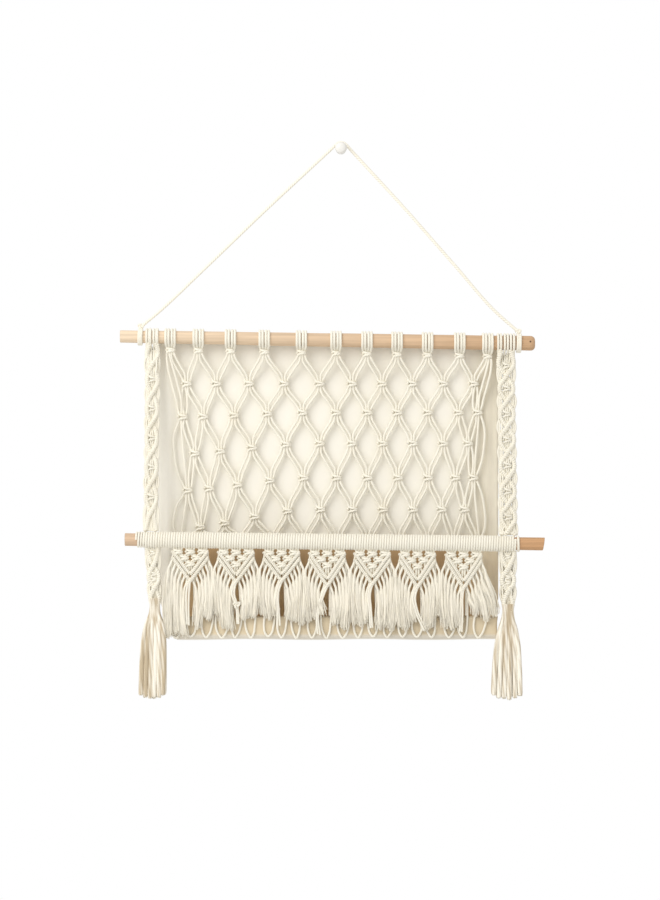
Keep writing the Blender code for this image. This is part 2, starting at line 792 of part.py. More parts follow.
def cord_route():
    """Points of the hanging cord: left tie, over the peg, right tie."""
    left_x = sum(TIE_LEFT) / 2 + 1.0
    right_x = sum(TIE_RIGHT) / 2 - 1.0
    lift = COLLAR_HIGH + 2 * GAP + CORD_R * 0.85
    centre = PEG_SHANK_R + GAP + CORD_R - CORD_BEND_R
    route = [
        (left_x, UPPER["y"], rod_z(UPPER, left_x) + rod_r(UPPER, left_x) + lift - 0.3),
        (-226.0, -16.6, -203.0),
        (-162.6, -14.8, -143.4),
        (-90.1, -12.2, -73.6),
        (-13.0, -9.3, -1.7),
    ]
    for along in (0.0, 0.25, 0.5, 0.75, 1.0):
        angle = CORD_LEAVES[0] + (CORD_LEAVES[1] - CORD_LEAVES[0]) * along
        x = CORD_BEND_R * math.sin(angle)
        route.append((x, CORD_Y_AT_PEG, centre + CORD_BEND_R * math.cos(angle)))
    route += [
        (12.9, -9.3, -2.7),
        (76.8, -12.0, -72.4),
        (139.8, -14.6, -144.2),
        (188.0, -16.4, -199.0),
        (right_x, UPPER["y"], rod_z(UPPER, right_x) + rod_r(UPPER, right_x) + lift),
    ]
    return [Vector(place) for place in route]


def smooth_route(route, step):
    """Points along a smooth curve through the route's own points."""
    points = [route[0] * 2 - route[1], *route, route[-1] * 2 - route[-2]]
    line = []
    for a, b, c, d in zip(points, points[1:], points[2:], points[3:]):
        steps = max(1, round((c - b).length / step))
        for k in range(steps):
            t = k / steps
            line.append(
                0.5 * (2 * b + (c - a) * t + (2 * a - 5 * b + 4 * c - d) * t**2
                       + (3 * b - a - 3 * c + d) * t**3)
            )
    return [*line, route[-1]]


def build_hanging_cord():
    line = smooth_route(cord_route(), CORD_STEP)
    curve = bpy.data.curves.new("hanging_cord", "CURVE")
    curve.dimensions = "3D"
    spline = curve.splines.new("POLY")
    spline.points.add(len(line) - 1)
    for place, spot in zip(spline.points, line):
        place.co = (*(spot * MM), 1)
    curve.bevel_depth = CORD_R * MM
    curve.bevel_resolution = 2
    curve.use_fill_caps = True
    thing = bpy.data.objects.new("hanging_cord", curve)
    bpy.context.scene.collection.objects.link(thing)
    material = bpy.data.materials.new("hanging_cord")
    material.use_nodes = True
    shader = material.node_tree.nodes["Principled BSDF"]
    shader.inputs["Base Color"].default_value = (*FINISHES["cord"][0], 1)
    shader.inputs["Roughness"].default_value = FINISHES["cord"][1]
    curve.materials.append(material)
    return thing


def main():
    clear_scene()
    build_rod("upper_rod", UPPER, ROD_DOME, 0.0)
    build_rod("lower_rod", LOWER, 0.0, ROD_SLANT)
    build_peg()
    build_hanging_cord()
    build_tie("tie_left", TIE_LEFT)
    build_tie("tie_right", TIE_RIGHT)
    build_net()
    build_canvas()
    build_wrap()
    for side, braid in BRAIDS.items():
        build_braid(side, braid)
    for side, tail in TAILS.items():
        build_tail(side, tail)
    for number, chevron in enumerate(CHEVRONS, 1):
        build_chevron(number, chevron)


main()
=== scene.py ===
# %% [markdown]
# # A macrame wall shelf
# The real thing is a shelf of cotton cord. A cord over a wall peg carries a wooden stick, a knotted
# net and a canvas hang from the stick, and the canvas turns forward into the floor of a pocket. A
# second stick, wound with cord, is the pocket's front edge. Seven small chevrons with brushed
# fringes hang below it, and a braid with a tassel closes each side.
#
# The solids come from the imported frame. They are right in size and place, but plain, so each soft
# one is replaced here by real cords: long tubes on smooth routes that loop, cross and knot.

# %% Load the frame
import math
import random

import bmesh
import bpy
import numpy as np
from mathutils import Matrix, Vector


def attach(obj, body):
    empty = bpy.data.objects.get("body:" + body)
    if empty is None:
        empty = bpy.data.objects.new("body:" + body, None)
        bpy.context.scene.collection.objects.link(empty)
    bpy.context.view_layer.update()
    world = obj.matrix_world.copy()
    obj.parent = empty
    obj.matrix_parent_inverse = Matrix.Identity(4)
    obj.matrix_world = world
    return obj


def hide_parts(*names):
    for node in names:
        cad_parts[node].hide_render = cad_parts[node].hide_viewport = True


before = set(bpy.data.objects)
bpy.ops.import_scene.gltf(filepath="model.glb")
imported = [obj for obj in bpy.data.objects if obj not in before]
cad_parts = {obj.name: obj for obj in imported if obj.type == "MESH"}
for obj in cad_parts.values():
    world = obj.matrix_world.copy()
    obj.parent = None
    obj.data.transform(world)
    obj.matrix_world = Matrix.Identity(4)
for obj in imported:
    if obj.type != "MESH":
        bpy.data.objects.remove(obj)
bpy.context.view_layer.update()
print("nodes in the frame:", len(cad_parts))

# %% [markdown]
# ## The camera
# The photograph looks straight at the shelf through a long lens, so a stick's two ends are seen
# from nearly the same angle. The shelf's own numbers are in millimetres and are made metres where
# a mesh is written. The picture is taller than wide, so the sensor's long side is its height.

# %% Place the camera
MM = 0.001
VIEW_HEIGHT = 1089.0
VIEW_MIDDLE = Vector((-13.3, -30.0, -366.6))
CAMERA_AWAY = 4000.0
SENSOR = 36.0

scene = bpy.context.scene
lens = bpy.data.cameras.new("camera")
lens.sensor_width = SENSOR
lens.lens = SENSOR * CAMERA_AWAY / VIEW_HEIGHT
camera = bpy.data.objects.new("camera", lens)
camera.location = (VIEW_MIDDLE - Vector((0.0, CAMERA_AWAY, 0.0))) * MM
camera.rotation_euler = (math.radians(90), 0, 0)
scene.collection.objects.link(camera)
scene.camera = camera
print("lens:", round(lens.lens, 1), "mm")

# %% [markdown]
# ## The shelf's main measures
# Both sticks slope a little, and the upper one is tapered, like a real branch turned on a lathe.
# Their heights and radii at any place come from the two ends. Everything that hangs from a stick
# asks these two functions where the wood is.

# %% Measures of the two sticks
GAP = 0.35
UPPER = {"left": -268.0, "right": 235.5, "z_left": -228.7, "z_right": -237.2,
         "r_left": 7.5, "r_right": 8.9, "y": -17.0}
LOWER = {"left": -260.2, "right": 244.1, "z_left": -474.3, "z_right": -479.8,
         "r_left": 7.7, "r_right": 7.7, "y": -50.0}
COLLAR_HIGH = 2.9


def share(low, high, value):
    """How far a value lies from low, 0, to high, 1."""
    return (value - low) / (high - low)


def held(value):
    """The value, kept between 0 and 1."""
    return min(1.0, max(0.0, value))


def rod_z(rod, x):
    """The height of a stick's middle line at a place across."""
    return rod["z_left"] + (rod["z_right"] - rod["z_left"]) * share(rod["left"], rod["right"], x)


def rod_r(rod, x):
    """A stick's radius at a place across."""
    return rod["r_left"] + (rod["r_right"] - rod["r_left"]) * share(rod["left"], rod["right"], x)


print("upper stick falls", round(UPPER["z_left"] - UPPER["z_right"], 1), "mm to the right")

# %% [markdown]
# ## A shader written as sums
# A material is a web of nodes. Writing the maths as ordinary sums is easier to read, so this small
# class holds one socket and adds a Math node whenever it meets an operator. Every other kind of
# node comes from one method: it takes the node's type, its settings, and its inputs. The nodes could
# be added one by one in the editor, but sums can be read, copied and changed in one place.

# %% A socket that can be used in sums
class Wire:
    """One socket of a material, for use in sums."""

    def __init__(self, tree, socket):
        self.tree = tree
        self.socket = socket

    def node(self, kind, settings, inputs, output=0):
        """Adds a node; an input is a number, a colour or another wire."""
        made = self.tree.nodes.new("ShaderNode" + kind)
        for name, value in settings.items():
            if name == "stops":
                ramp = made.color_ramp
                while len(ramp.elements) < len(value):
                    ramp.elements.new(0.5)
                for element, (place, colour) in zip(ramp.elements, value):
                    element.position = place
                    element.color = (*colour, 1.0)
            else:
                setattr(made, name, value)
        for name, value in inputs.items():
            if isinstance(value, Wire):
                self.tree.links.new(value.socket, made.inputs[name])
            else:
                made.inputs[name].default_value = value
        return Wire(self.tree, made.outputs[output])

    def other(self, output):
        """Another output of the same node."""
        return Wire(self.tree, self.socket.node.outputs[output])

    def maths(self, operation, *values):
        return self.node("Math", {"operation": operation}, dict(enumerate(values)))

    def __add__(self, value):
        return self.maths("ADD", self, value)

    def __radd__(self, value):
        return self.maths("ADD", value, self)

    def __sub__(self, value):
        return self.maths("SUBTRACT", self, value)

    def __rsub__(self, value):
        return self.maths("SUBTRACT", value, self)

    def __mul__(self, value):
        return self.maths("MULTIPLY", self, value)

    def __rmul__(self, value):
        return self.maths("MULTIPLY", value, self)

    def __truediv__(self, value):
        return self.maths("DIVIDE", self, value)

    def __pow__(self, value):
        return self.maths("POWER", self, value)

    def __abs__(self):
        return self.maths("ABSOLUTE", self)

    def sine(self):
        return self.maths("SINE", self)

    def clamped(self):
        return self.node("Clamp", {}, {"Value": self})

    def blend(self, low, high):
        """A colour between two others, with this value as the share of the second."""
        pair = {0: self}
        for slot, colour in ((6, low), (7, high)):
            pair[slot] = colour if isinstance(colour, Wire) else (*colour, 1.0)
        return self.node("Mix", {"data_type": "RGBA"}, pair, 2)

    def stretched(self, sizes):
        return self.node("VectorMath", {"operation": "MULTIPLY"}, {0: self, 1: sizes})

    def noise(self, scale, detail=3.0):
        return self.node("TexNoise", {}, {"Vector": self, "Scale": scale, "Detail": detail})

    def into(self, shader, name):
        self.tree.links.new(self.socket, shader.inputs[name])


def new_finish(name, constants):
    """A material, its shader, and wires for the object's own places and its UV map."""
    material = bpy.data.materials.new(name)
    material.use_nodes = True
    tree = material.node_tree
    shader = tree.nodes["Principled BSDF"]
    for socket, value in constants.items():
        shader.inputs[socket].default_value = value
    places = tree.nodes.new("ShaderNodeTexCoord")
    return material, shader, Wire(tree, places.outputs["Object"]), Wire(tree, places.outputs["UV"])


def raise_surface(shader, height, distance, strength=1.0):
    """Feeds a height to the shader's normal."""
    inputs = {"Height": height, "Distance": distance, "Strength": strength}
    height.node("Bump", {}, inputs).into(shader, "Normal")


print("sums of sockets are ready")

# %% [markdown]
# ## Cotton cord
# The cord is three soft plies laid round each other. Its UV map runs along the cord in metres and
# once round it, so three slanted ridges per turn are one sine of both. Fine fibres are a noise
# stretched along the cord, and the grooves between the plies are painted darker and warmer than
# their backs, as painted shade.
# Real plies could be modelled, but so many metres of cord would then be millions of faces.

# %% The cotton finishes
PLIES = 3.0
CORD_LAY = 0.0105
CORD_RIDGE = 0.0005
CORD_FIBRES = (900.0, 22.0, 1.0)
CORD_LIGHT = (0.985, 0.95, 0.845)
# The deep colour is reached in the grooves, where it is painted shade, and in the darker patches.
CORD_DEEP = (0.91, 0.84, 0.68)


def cotton(name, lay, light, deep, ridge, patches=(38.0, 38.0, 38.0), depth=0.9, level=0.4):
    """Twisted cotton: lay is the length of one turn of a ply, ridge the depth of its grooves.

    The patches are slow changes of tone, deep by depth round a middle level; on the tassel they are
    long streaks of painted shade between its cords.
    """
    made = new_finish(name, {"Roughness": 0.92, "Sheen Weight": 0.22, "Sheen Roughness": 0.6,
                             "Specular IOR Level": 0.18})
    material, shader, place, along = made
    split = along.node("SeparateXYZ", {}, {"Vector": along})
    turn = split.other("Y") * PLIES + split * (PLIES / lay)
    ply = abs((turn * math.pi).sine())
    fibre = along.stretched(CORD_FIBRES).noise(1.0, 2.0)
    mottle = place.stretched(patches).noise(1.0)
    # The ply term paints the grooves towards the deep colour: painted shade between the plies.
    shade = (ply * 0.55 + (mottle - 0.5) * depth + level + fibre * 0.2).clamped()
    shade.blend(deep, light).into(shader, "Base Color")
    raise_surface(shader, ply * 0.8 + fibre * 0.35, ridge)
    return material


cord_finish = cotton("cotton_cord", CORD_LAY, CORD_LIGHT, CORD_DEEP, CORD_RIDGE)
print("cotton:", cord_finish.name)

# %% [markdown]
# ## Brushed cotton
# The fringes are the same cord combed out, so there is no twist left. Only fine fibres remain, and
# they are lighter because more light passes between them. The streaks run along the UV map, so they
# follow each lock wherever it bends.

# %% The brushed finish
FRINGE_FIBRES = (60.0, 26.0, 1.0)
FRINGE_LIGHT = (0.99, 0.95, 0.845)
FRINGE_DEEP = (0.935, 0.87, 0.72)


def brushed(name, light, deep):
    """Combed fibres: long thin streaks along the lock."""
    made = new_finish(name, {"Roughness": 0.95, "Sheen Weight": 0.3, "Sheen Roughness": 0.5,
                             "Specular IOR Level": 0.12})
    material, shader, place, along = made
    streak = along.stretched(FRINGE_FIBRES).noise(1.0, 3.0)
    tuft = place.noise(70.0)
    shade = (streak * 0.9 + tuft * 0.6 - 0.2).clamped()
    shade.blend(deep, light).into(shader, "Base Color")
    raise_surface(shader, streak, 0.0006)
    return material


fringe_finish = brushed("brushed_cotton", FRINGE_LIGHT, FRINGE_DEEP)
print("brushed:", fringe_finish.name)

# %% [markdown]
# ## Canvas
# The cloth is a plain weave: every thread goes over one and under the next. Two sines of the UV
# map, multiplied, give that checker of small pillows, and a slow noise gives uneven threads. Painted
# shade turns the inside of the pocket brown under the wound stick and tan lower down, and tints its
# hem; painted fold shade makes the cloth tanner towards its right-hand side. All of that belongs to
# the inner side, so the finish is made twice: once with it and once plain.

# %% The canvas finish
CANVAS_LIGHT = (0.965, 0.94, 0.87)
CANVAS_DEEP = (0.905, 0.865, 0.77)
# Painted shade inside the pocket: brown under the wound stick, paler tan lower down.
POCKET_SHADE_HIGH = (0.66, 0.45, 0.25)
POCKET_SHADE_LOW = (0.97, 0.73, 0.44)
POCKET_SHADE_TOP = -0.468
POCKET_SHADE_FADE = 0.014
POCKET_SHADE_PALES = -0.500
POCKET_SHADE_PALES_FADE = 0.05
POCKET_SHADE_SIDES = (-0.203, 0.170)
POCKET_SHADE_EDGE = 0.012
# The hem in painted shade behind the loops: tan, and lighter along its foot.
HEM_SHADE = (0.86, 0.735, 0.53)
HEM_FOOT_SHADE = (0.86, 0.80, 0.69)
HEM_FOOT = -0.5905
HEM_EDGE_FADE = 0.003
HEM_DEPTH = -0.043
HEM_FADE = 0.002
# Painted shade of the folds at the cloth's right-hand side, tanner below the wound stick.
SHADED_TONE = (0.99, 0.925, 0.78)
SHADED_LOW = (0.91, 0.78, 0.575)
SHADED_FROM = 0.148
SHADED_FADE = 0.03
THREADS = 950.0
SLUBS = (1500.0, 60.0, 1.0)
BLACK = (0.0, 0.0, 0.0)


def canvas_cloth(name, painted_shade_side):
    """Plain canvas; painted_shade_side is one on the side that gets the painted pocket and fold shade,
    else zero.
    """
    made = new_finish(name, {"Roughness": 0.95, "Sheen Weight": 0.15, "Sheen Roughness": 0.6,
                             "Specular IOR Level": 0.15})
    material, shader, place, along = made
    split = along.node("SeparateXYZ", {}, {"Vector": along})
    across = (split * (THREADS * math.pi)).sine()
    down = (split.other("Y") * (THREADS * math.pi)).sine()
    weave = across * down * 0.5 + 0.5
    slub = along.stretched(SLUBS).noise(1.0, 2.0)
    cloud = place.noise(9.0)
    shade = (weave * 0.25 + slub * 0.4 + cloud * 0.9 - 0.1).clamped()
    spot = place.node("SeparateXYZ", {}, {"Vector": place})
    # Where painted shade falls inside the pocket: below the wound stick, between the net's sides, on
    # the inner side only; it pales lower down.
    low = ((POCKET_SHADE_TOP - spot.other("Z")) / POCKET_SHADE_FADE).clamped()
    left = ((spot - POCKET_SHADE_SIDES[0]) / POCKET_SHADE_EDGE).clamped()
    right = ((POCKET_SHADE_SIDES[1] - spot) / POCKET_SHADE_EDGE).clamped()
    inside = low * left * right * painted_shade_side
    pale = ((POCKET_SHADE_PALES - spot.other("Z")) / POCKET_SHADE_PALES_FADE).clamped()
    worn = shade * 0.5 + 0.5
    # Painted fold shade towards the right-hand side, on the inner side only.
    shaded = ((spot - SHADED_FROM) / SHADED_FADE).clamped() * painted_shade_side
    fold_shade = worn.blend(BLACK, low.blend(SHADED_TONE, SHADED_LOW))
    cloth = shaded.blend(shade.blend(CANVAS_DEEP, CANVAS_LIGHT), fold_shade)
    pocket_shade = pale.blend(POCKET_SHADE_HIGH, POCKET_SHADE_LOW)
    pocket = inside.blend(cloth, worn.blend(BLACK, pocket_shade))
    # The hem is painted in shade: tan above, lighter along its foot.
    front = ((HEM_DEPTH - spot.other("Y")) / HEM_FADE).clamped()
    tone = ((spot.other("Z") - HEM_FOOT) / HEM_EDGE_FADE).clamped().blend(HEM_FOOT_SHADE, HEM_SHADE)
    hem = worn.blend(BLACK, tone)
    front.blend(pocket, hem).into(shader, "Base Color")
    raise_surface(shader, weave * 0.6 + slub * 0.5, 0.00025)
    return material


canvas_finish = canvas_cloth("canvas_inside", 1.0)
canvas_outside = canvas_cloth("canvas_outside", 0.0)
print("canvas threads per metre:", THREADS)

# %% [markdown]
# ## Wood
# The sticks are pale beech, sanded and left bare. Long grain is a noise drawn out along the stick,
# with rings at the cut ends. Painted light makes both sticks paler at their left end, where the light
# falls, and darker and more orange towards their right end, and a small pin hole in the upper one
# there is painted dark as its shade. The rings follow each stick's slope, because the middle of the
# wood is worked out from its two ends.

# %% The wood finish
# A pin hole near the upper stick's right end; it is not modelled but painted dark, as painted shade.
PIN_X = 0.2295
PIN_Z = -0.2352
PIN_R = 0.0009
PIN_HOLE_SHADE = (0.10, 0.055, 0.03)
RINGS = 2600.0
RING_WANDER = 2.2
GRAIN = (9.0, 420.0, 420.0)
FLECKS = (60.0, 1800.0, 1800.0)
END_GRAIN = 0.4
END_GRAIN_FADE = 0.00025
DARK_LIT_LEFT = 0.62
DARK_SHADED_RIGHT = 0.55


def beech(name, rod, pale, shaded_right):
    """Bare beech along a stick, with painted light: paler at its left end, where the light falls, and
    darker and more orange at its right.
    """
    made = new_finish(name, {"Roughness": 0.55, "Specular IOR Level": 0.35})
    material, shader, place, along = made
    split = place.node("SeparateXYZ", {}, {"Vector": place})
    slope = (rod["z_right"] - rod["z_left"]) / (rod["right"] - rod["left"])
    level = split * slope + (rod["z_left"] - rod["left"] * slope) * MM
    up = split.other("Z") - level
    out = split.other("Y") - rod["y"] * MM
    reach = (up * up + out * out) ** 0.5
    ring = (reach * RINGS + place.noise(40.0) * RING_WANDER).sine() * 0.5 + 0.5
    grain = place.stretched(GRAIN).noise(1.0, 4.0)
    fleck = place.stretched(FLECKS).noise(1.0, 2.0)
    cut = ((split - (rod["left"] + END_GRAIN) * MM) * (-1.0 / END_GRAIN_FADE)).clamped()
    worn = (grain * 1.3 - 0.25 + fleck * 0.25 - ring * cut * 0.7).clamped()
    # Painted light: the colour goes from the lit left end to the darker, more orange right end.
    right = ((split - rod["left"] * MM) / ((rod["right"] - rod["left"]) * MM)).clamped()
    base = right.blend(pale, shaded_right)
    dark = right.blend([tone * DARK_LIT_LEFT for tone in pale], [tone * DARK_SHADED_RIGHT for tone in shaded_right])
    # The pin hole painted dark: painted shade where a hole would be.
    from_pin = ((split - PIN_X) ** 2.0 + (split.other("Z") - PIN_Z) ** 2.0) ** 0.5
    hole = (3.0 - from_pin * (2.0 / PIN_R)).clamped()
    hole.blend(worn.blend(dark, base), PIN_HOLE_SHADE).into(shader, "Base Color")
    (0.66 - worn * 0.16).into(shader, "Roughness")
    raise_surface(shader, worn, 0.0002)
    return material


# Each pair runs from the paler, lit left end to the darker right end: painted light over the beech's
# own colour.
UPPER_TONES = ((0.99, 0.80, 0.59), (0.735, 0.47, 0.27))
LOWER_TONES = ((0.80, 0.58, 0.40), (0.74, 0.425, 0.215))
upper_wood = beech("beech_upper", UPPER, *UPPER_TONES)
lower_wood = beech("beech_lower", LOWER, *LOWER_TONES)
print("wood:", upper_wood.name, lower_wood.name)

# %% [markdown]
# ## Pieces
# A piece is a mesh at the origin that rides on the shelf's one body. It takes the place of the plain
# solids that it stands for, so those are hidden while it is shown.

# %% Make a piece
CUT_END = math.radians(75)


def mesh_from(bm, name):
    """A new mesh from a bmesh, which is then set free."""
    mesh = bpy.data.meshes.new(name)
    bm.to_mesh(mesh)
    bm.free()
    return mesh


def make_piece(name, mesh, material, slot, *nodes):
    """An object from a mesh, with its finish, that stands for one or more solids."""
    mesh.name = name
    mesh.materials.clear()
    mesh.materials.append(material)
    mesh.shade_smooth()
    mesh.set_sharp_from_angle(angle=CUT_END)
    piece = bpy.data.objects.new(name, mesh)
    scene.collection.objects.link(piece)
    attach(piece, "root")
    if nodes:
        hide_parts(*nodes)
    print(name, "has", sum(len(face.vertices) - 2 for face in mesh.polygons), "triangles")
    return piece


# %% [markdown]
# ## Smooth routes and cords
# A knot is easiest to plan as a few places that the cord passes. A curve through those places gives
# the cord's real path. Automatic curve handles could do the same, but they swing wide where two
# places lie close together, and in a knot that would make cords run through each other.

# %% A smooth line through a few places
CORD_STEP = 2.7


def heading_at(before, here, after):
    """The direction of a curve at a place, swayed most by the nearer neighbour."""
    come = here - before
    leave = after - here
    total = come.length + leave.length
    return (come.normalized() * leave.length + leave.normalized() * come.length) / total


def smooth(route, step=CORD_STEP, least=3):
    """Points along a smooth curve through the route's own points."""
    ends = [route[0] * 2 - route[1], *route, route[-1] * 2 - route[-2]]
    headings = [heading_at(*three) for three in zip(ends, ends[1:], ends[2:])]
    line = []
    for k, (b, c) in enumerate(zip(route, route[1:])):
        length = (c - b).length
        steps = max(least, round(length / step))
        for number in range(steps):
            t = number / steps
            start = b * (2 * t**3 - 3 * t**2 + 1) + headings[k] * length * (t**3 - 2 * t**2 + t)
            end = c * (3 * t**2 - 2 * t**3) + headings[k + 1] * length * (t**3 - t**2)
            line.append(start + end)
    return [*line, route[-1].copy()]


def length_of(line):
    return sum((b - a).length for a, b in zip(line, line[1:]))


def beside(spot, across, back=0.0, up=0.0):
    """A place moved to the right, back towards the wall, and up."""
    return spot + Vector((across, back, up))


# %% [markdown]
# ## Cords as one mesh
# A round bevel on a curve gives a cord its thickness. Each curve is made a mesh, its UV map is
# stretched to the true length so that the twist keeps its size, and its caps are merged with their
# tubes. Each cord starts at another place in its twist, so that neighbours do not match.

# %% Tubes along lines of points
chance = random.Random(11)


def end_rings(bm, lines, first, sides):
    """The vertices of each tube's first and last ring, which the caps are merged with."""
    bm.verts.ensure_lookup_table()
    found = []
    for line in lines:
        last = first + (len(line) - 1) * sides
        found += bm.verts[first:first + sides] + bm.verts[last:last + sides]
        first = last + sides
    return found


def cord_mesh(name, lines, radius, rounds=2, widths=None):
    """Tubes along lines of points, as one mesh whose UV map runs in metres."""
    curve = bpy.data.curves.new(name, "CURVE")
    curve.dimensions = "3D"
    curve.bevel_depth = radius * MM
    curve.bevel_resolution = rounds
    curve.use_fill_caps = True
    sides = 4 + 2 * rounds
    run = []
    for number, line in enumerate(lines):
        spline = curve.splines.new("POLY")
        spline.points.add(len(line) - 1)
        start = chance.uniform(0.0, 0.5)
        for k, spot in enumerate(line):
            spline.points[k].co = (*(spot * MM), 1.0)
            if widths:
                spline.points[k].radius = widths[number][k]
            if k:
                start += (spot - line[k - 1]).length * MM
            run.append(start)
    holder = bpy.data.objects.new(name, curve)
    mesh = bpy.data.meshes.new_from_object(holder)
    bpy.data.objects.remove(holder)
    corners = np.empty(len(mesh.loops), dtype=np.int32)
    mesh.loops.foreach_get("vertex_index", corners)
    places = np.empty(len(mesh.loops) * 2, dtype=np.float32)
    mesh.uv_layers.active.data.foreach_get("uv", places)
    caps = 2 * sides * len(lines)
    rings = np.maximum(corners - caps, 0) // sides
    places[0::2] = np.array(run, dtype=np.float32)[rings]
    mesh.uv_layers.active.data.foreach_set("uv", places)
    bm = bmesh.new()
    bm.from_mesh(mesh)
    ends = end_rings(bm, lines, caps, sides)
    bmesh.ops.remove_doubles(bm, verts=bm.verts[:caps] + ends, dist=1e-7)
    bm.to_mesh(mesh)
    bm.free()
    return mesh


def cord_piece(name, node, lines, radius, rounds=2, widths=None, finish=cord_finish):
    """Cords along lines of points, as a finished piece."""
    return make_piece(name, cord_mesh(name, lines, radius, rounds, widths), finish, "cord", node)


def wound(line, reach, pitch, points=9):
    """A cord wound round a path: reach is from the path to the cord's middle."""
    step = pitch / points
    coil = []
    gone = 0.0
    turn = 0.0
    front = Vector((0.0, -1.0, 0.0))
    for a, b in zip(line, line[1:]):
        along = (b - a).normalized()
        up = (front - along * front.dot(along)).normalized()
        side = along.cross(up)
        length = (b - a).length
        while gone < length:
            angle = 2 * math.pi * turn
            coil.append(a + along * gone + (up * math.cos(angle) + side * math.sin(angle)) * reach)
            gone += step
            turn += 1 / points
        gone -= length
    return coil


# %% [markdown]
# ## The hanging cord
# One cord of about four millimetres runs from the upper stick over the peg and down to the stick
# again, pulled almost straight by the shelf's weight. Its points are the ones that the solid model
# uses, so it bends over the peg in the same place.

# %% The hanging cord's route
CORD_R = 2.0
CORD_PULLED = 0.95
CORD_BEND_R = 8.4
CORD_Y_AT_PEG = -9.0
CORD_LEAVES = (math.radians(-43), math.radians(47))
PEG_SHANK_R = 5.0
TIE_LEFT = (-247.0, -240.0)
TIE_RIGHT = (212.4, 219.4)


def hanging_route():
    """From the left tie over the peg to the right tie."""
    left_x = sum(TIE_LEFT) / 2 + 1.0
    right_x = sum(TIE_RIGHT) / 2 - 1.0
    lift = COLLAR_HIGH + 2 * GAP + CORD_R * 0.85
    middle = PEG_SHANK_R + GAP + CORD_R - CORD_BEND_R
    route = [
        (left_x, UPPER["y"], rod_z(UPPER, left_x) + rod_r(UPPER, left_x) + lift - 0.3),
        (-226.0, -16.6, -203.0),
        (-162.6, -14.8, -143.4),
        (-90.1, -12.2, -73.6),
        (-13.0, -9.3, -1.7),
    ]
    for along in (0.0, 0.25, 0.5, 0.75, 1.0):
        angle = CORD_LEAVES[0] + (CORD_LEAVES[1] - CORD_LEAVES[0]) * along
        spot = (CORD_BEND_R * math.sin(angle), CORD_Y_AT_PEG, middle + CORD_BEND_R * math.cos(angle))
        route.append(spot)
    route += [
        (12.9, -9.3, -2.7),
        (76.8, -12.0, -72.4),
        (139.8, -14.6, -144.2),
        (188.0, -16.4, -199.0),
        (right_x, UPPER["y"], rod_z(UPPER, right_x) + rod_r(UPPER, right_x) + lift),
    ]
    return [Vector(spot) for spot in route]


hanging_line = smooth(hanging_route())
hanging_cord = cord_piece("cord_over_peg", "hanging_cord", [hanging_line], CORD_R * CORD_PULLED, 4)
print("hanging cord:", round(length_of(hanging_line)), "mm")

# %% [markdown]
# ## The ties
# At each end the cord takes two turns round the stick and is stopped with a small overhand knot on
# top. An overhand knot drawn closed is a trefoil, and a trefoil has a short formula.

# %% The turns and the knot at each end
TIE_CORD_R = 1.45
TIE_TURNS = 2.5
TIE_KNOT_UP = 5.2
TIE_KNOT_SIZE = 1.02


def round_stick(x_from, x_to, reach, turns, start, points=18):
    """A helix round the upper stick; start is a share of a turn from the front, going up."""
    count = round(turns * points)
    line = []
    for k in range(count + 1):
        angle = 2 * math.pi * (start + k / points)
        x = x_from + (x_to - x_from) * k / count
        radius = rod_r(UPPER, x) + reach
        y = UPPER["y"] - radius * math.cos(angle)
        line.append(Vector((x, y, rod_z(UPPER, x) + radius * math.sin(angle))))
    return line


def trefoil(middle, size, points=54):
    """A closed overhand knot, about five and a half sizes wide."""
    line = []
    for k in range(points + 1):
        t = 2 * math.pi * k / points
        x = math.sin(t) + 2 * math.sin(2 * t)
        y = -math.sin(3 * t)
        z = math.cos(t) - 2 * math.cos(2 * t)
        line.append(middle + Vector((x, y * 1.2, z)) * size)
    return line


def tie(name, node, span, lean):
    """The turns between the two ends of a span, and the knot on top of the stick."""
    reach = GAP + TIE_CORD_R
    turns = round_stick(span[0] + TIE_CORD_R, span[1] - TIE_CORD_R, reach, TIE_TURNS, -0.25)
    middle = (span[0] + span[1]) / 2 + lean
    over = rod_z(UPPER, middle) + rod_r(UPPER, middle) + TIE_KNOT_UP
    knot = trefoil(Vector((middle, UPPER["y"] - 0.6, over)), TIE_KNOT_SIZE)
    return cord_piece(name, node, [turns, knot], TIE_CORD_R, 3)


left_tie = tie("tie_knot_left", "tie_left", TIE_LEFT, 0.8)
right_tie = tie("tie_knot_right", "tie_right", TIE_RIGHT, -0.8)
tuple(hanging_line[0] * MM)
length_of(hanging_line) * MM
[tuple(spot * MM) for spot in hanging_line]

# %% [markdown]
# ## The sticks
# A stick is a disc drawn out along its length, ring after ring. Each ring is moved and sized a
# little, so the wood is not a perfect cylinder. The upper stick's right end is rounded over, and
# the lower one's is sawn at a slant. The slant moves the last rings together, each by its share,
# because an end face that is tilted alone would cut through the rings before it.

# %% Draw a disc out into a stick
STICK_SIDES = 48
STICK_RINGS = 90
SOFT_EDGE = 0.6
SMALL_DOME = 0.8
DOME_RINGS = 6
SAW_FROM = 7.0
SAW_TO = 0.9
UPPER_DOME = 5.5
LOWER_SLANT = 2.4
WOOD_EDGE = math.radians(42)


def stick_stations(rod, dome):
    """Places along a stick and how much smaller each ring is, with softened ends."""
    first = rod["left"]
    stations = [(first + 0.15, 0.25), (first + SOFT_EDGE, 0.0)]
    reach = max(dome, SMALL_DOME)
    last = rod["right"] - reach
    for k in range(1, STICK_RINGS):
        stations.append((first + SOFT_EDGE + (last - first - SOFT_EDGE) * k / STICK_RINGS, 0.0))
    for k in range(DOME_RINGS + 1):
        angle = math.radians(90) * k / DOME_RINGS
        stations.append((last + reach * math.sin(angle), reach * 0.9 * (1 - math.cos(angle))))
    return stations


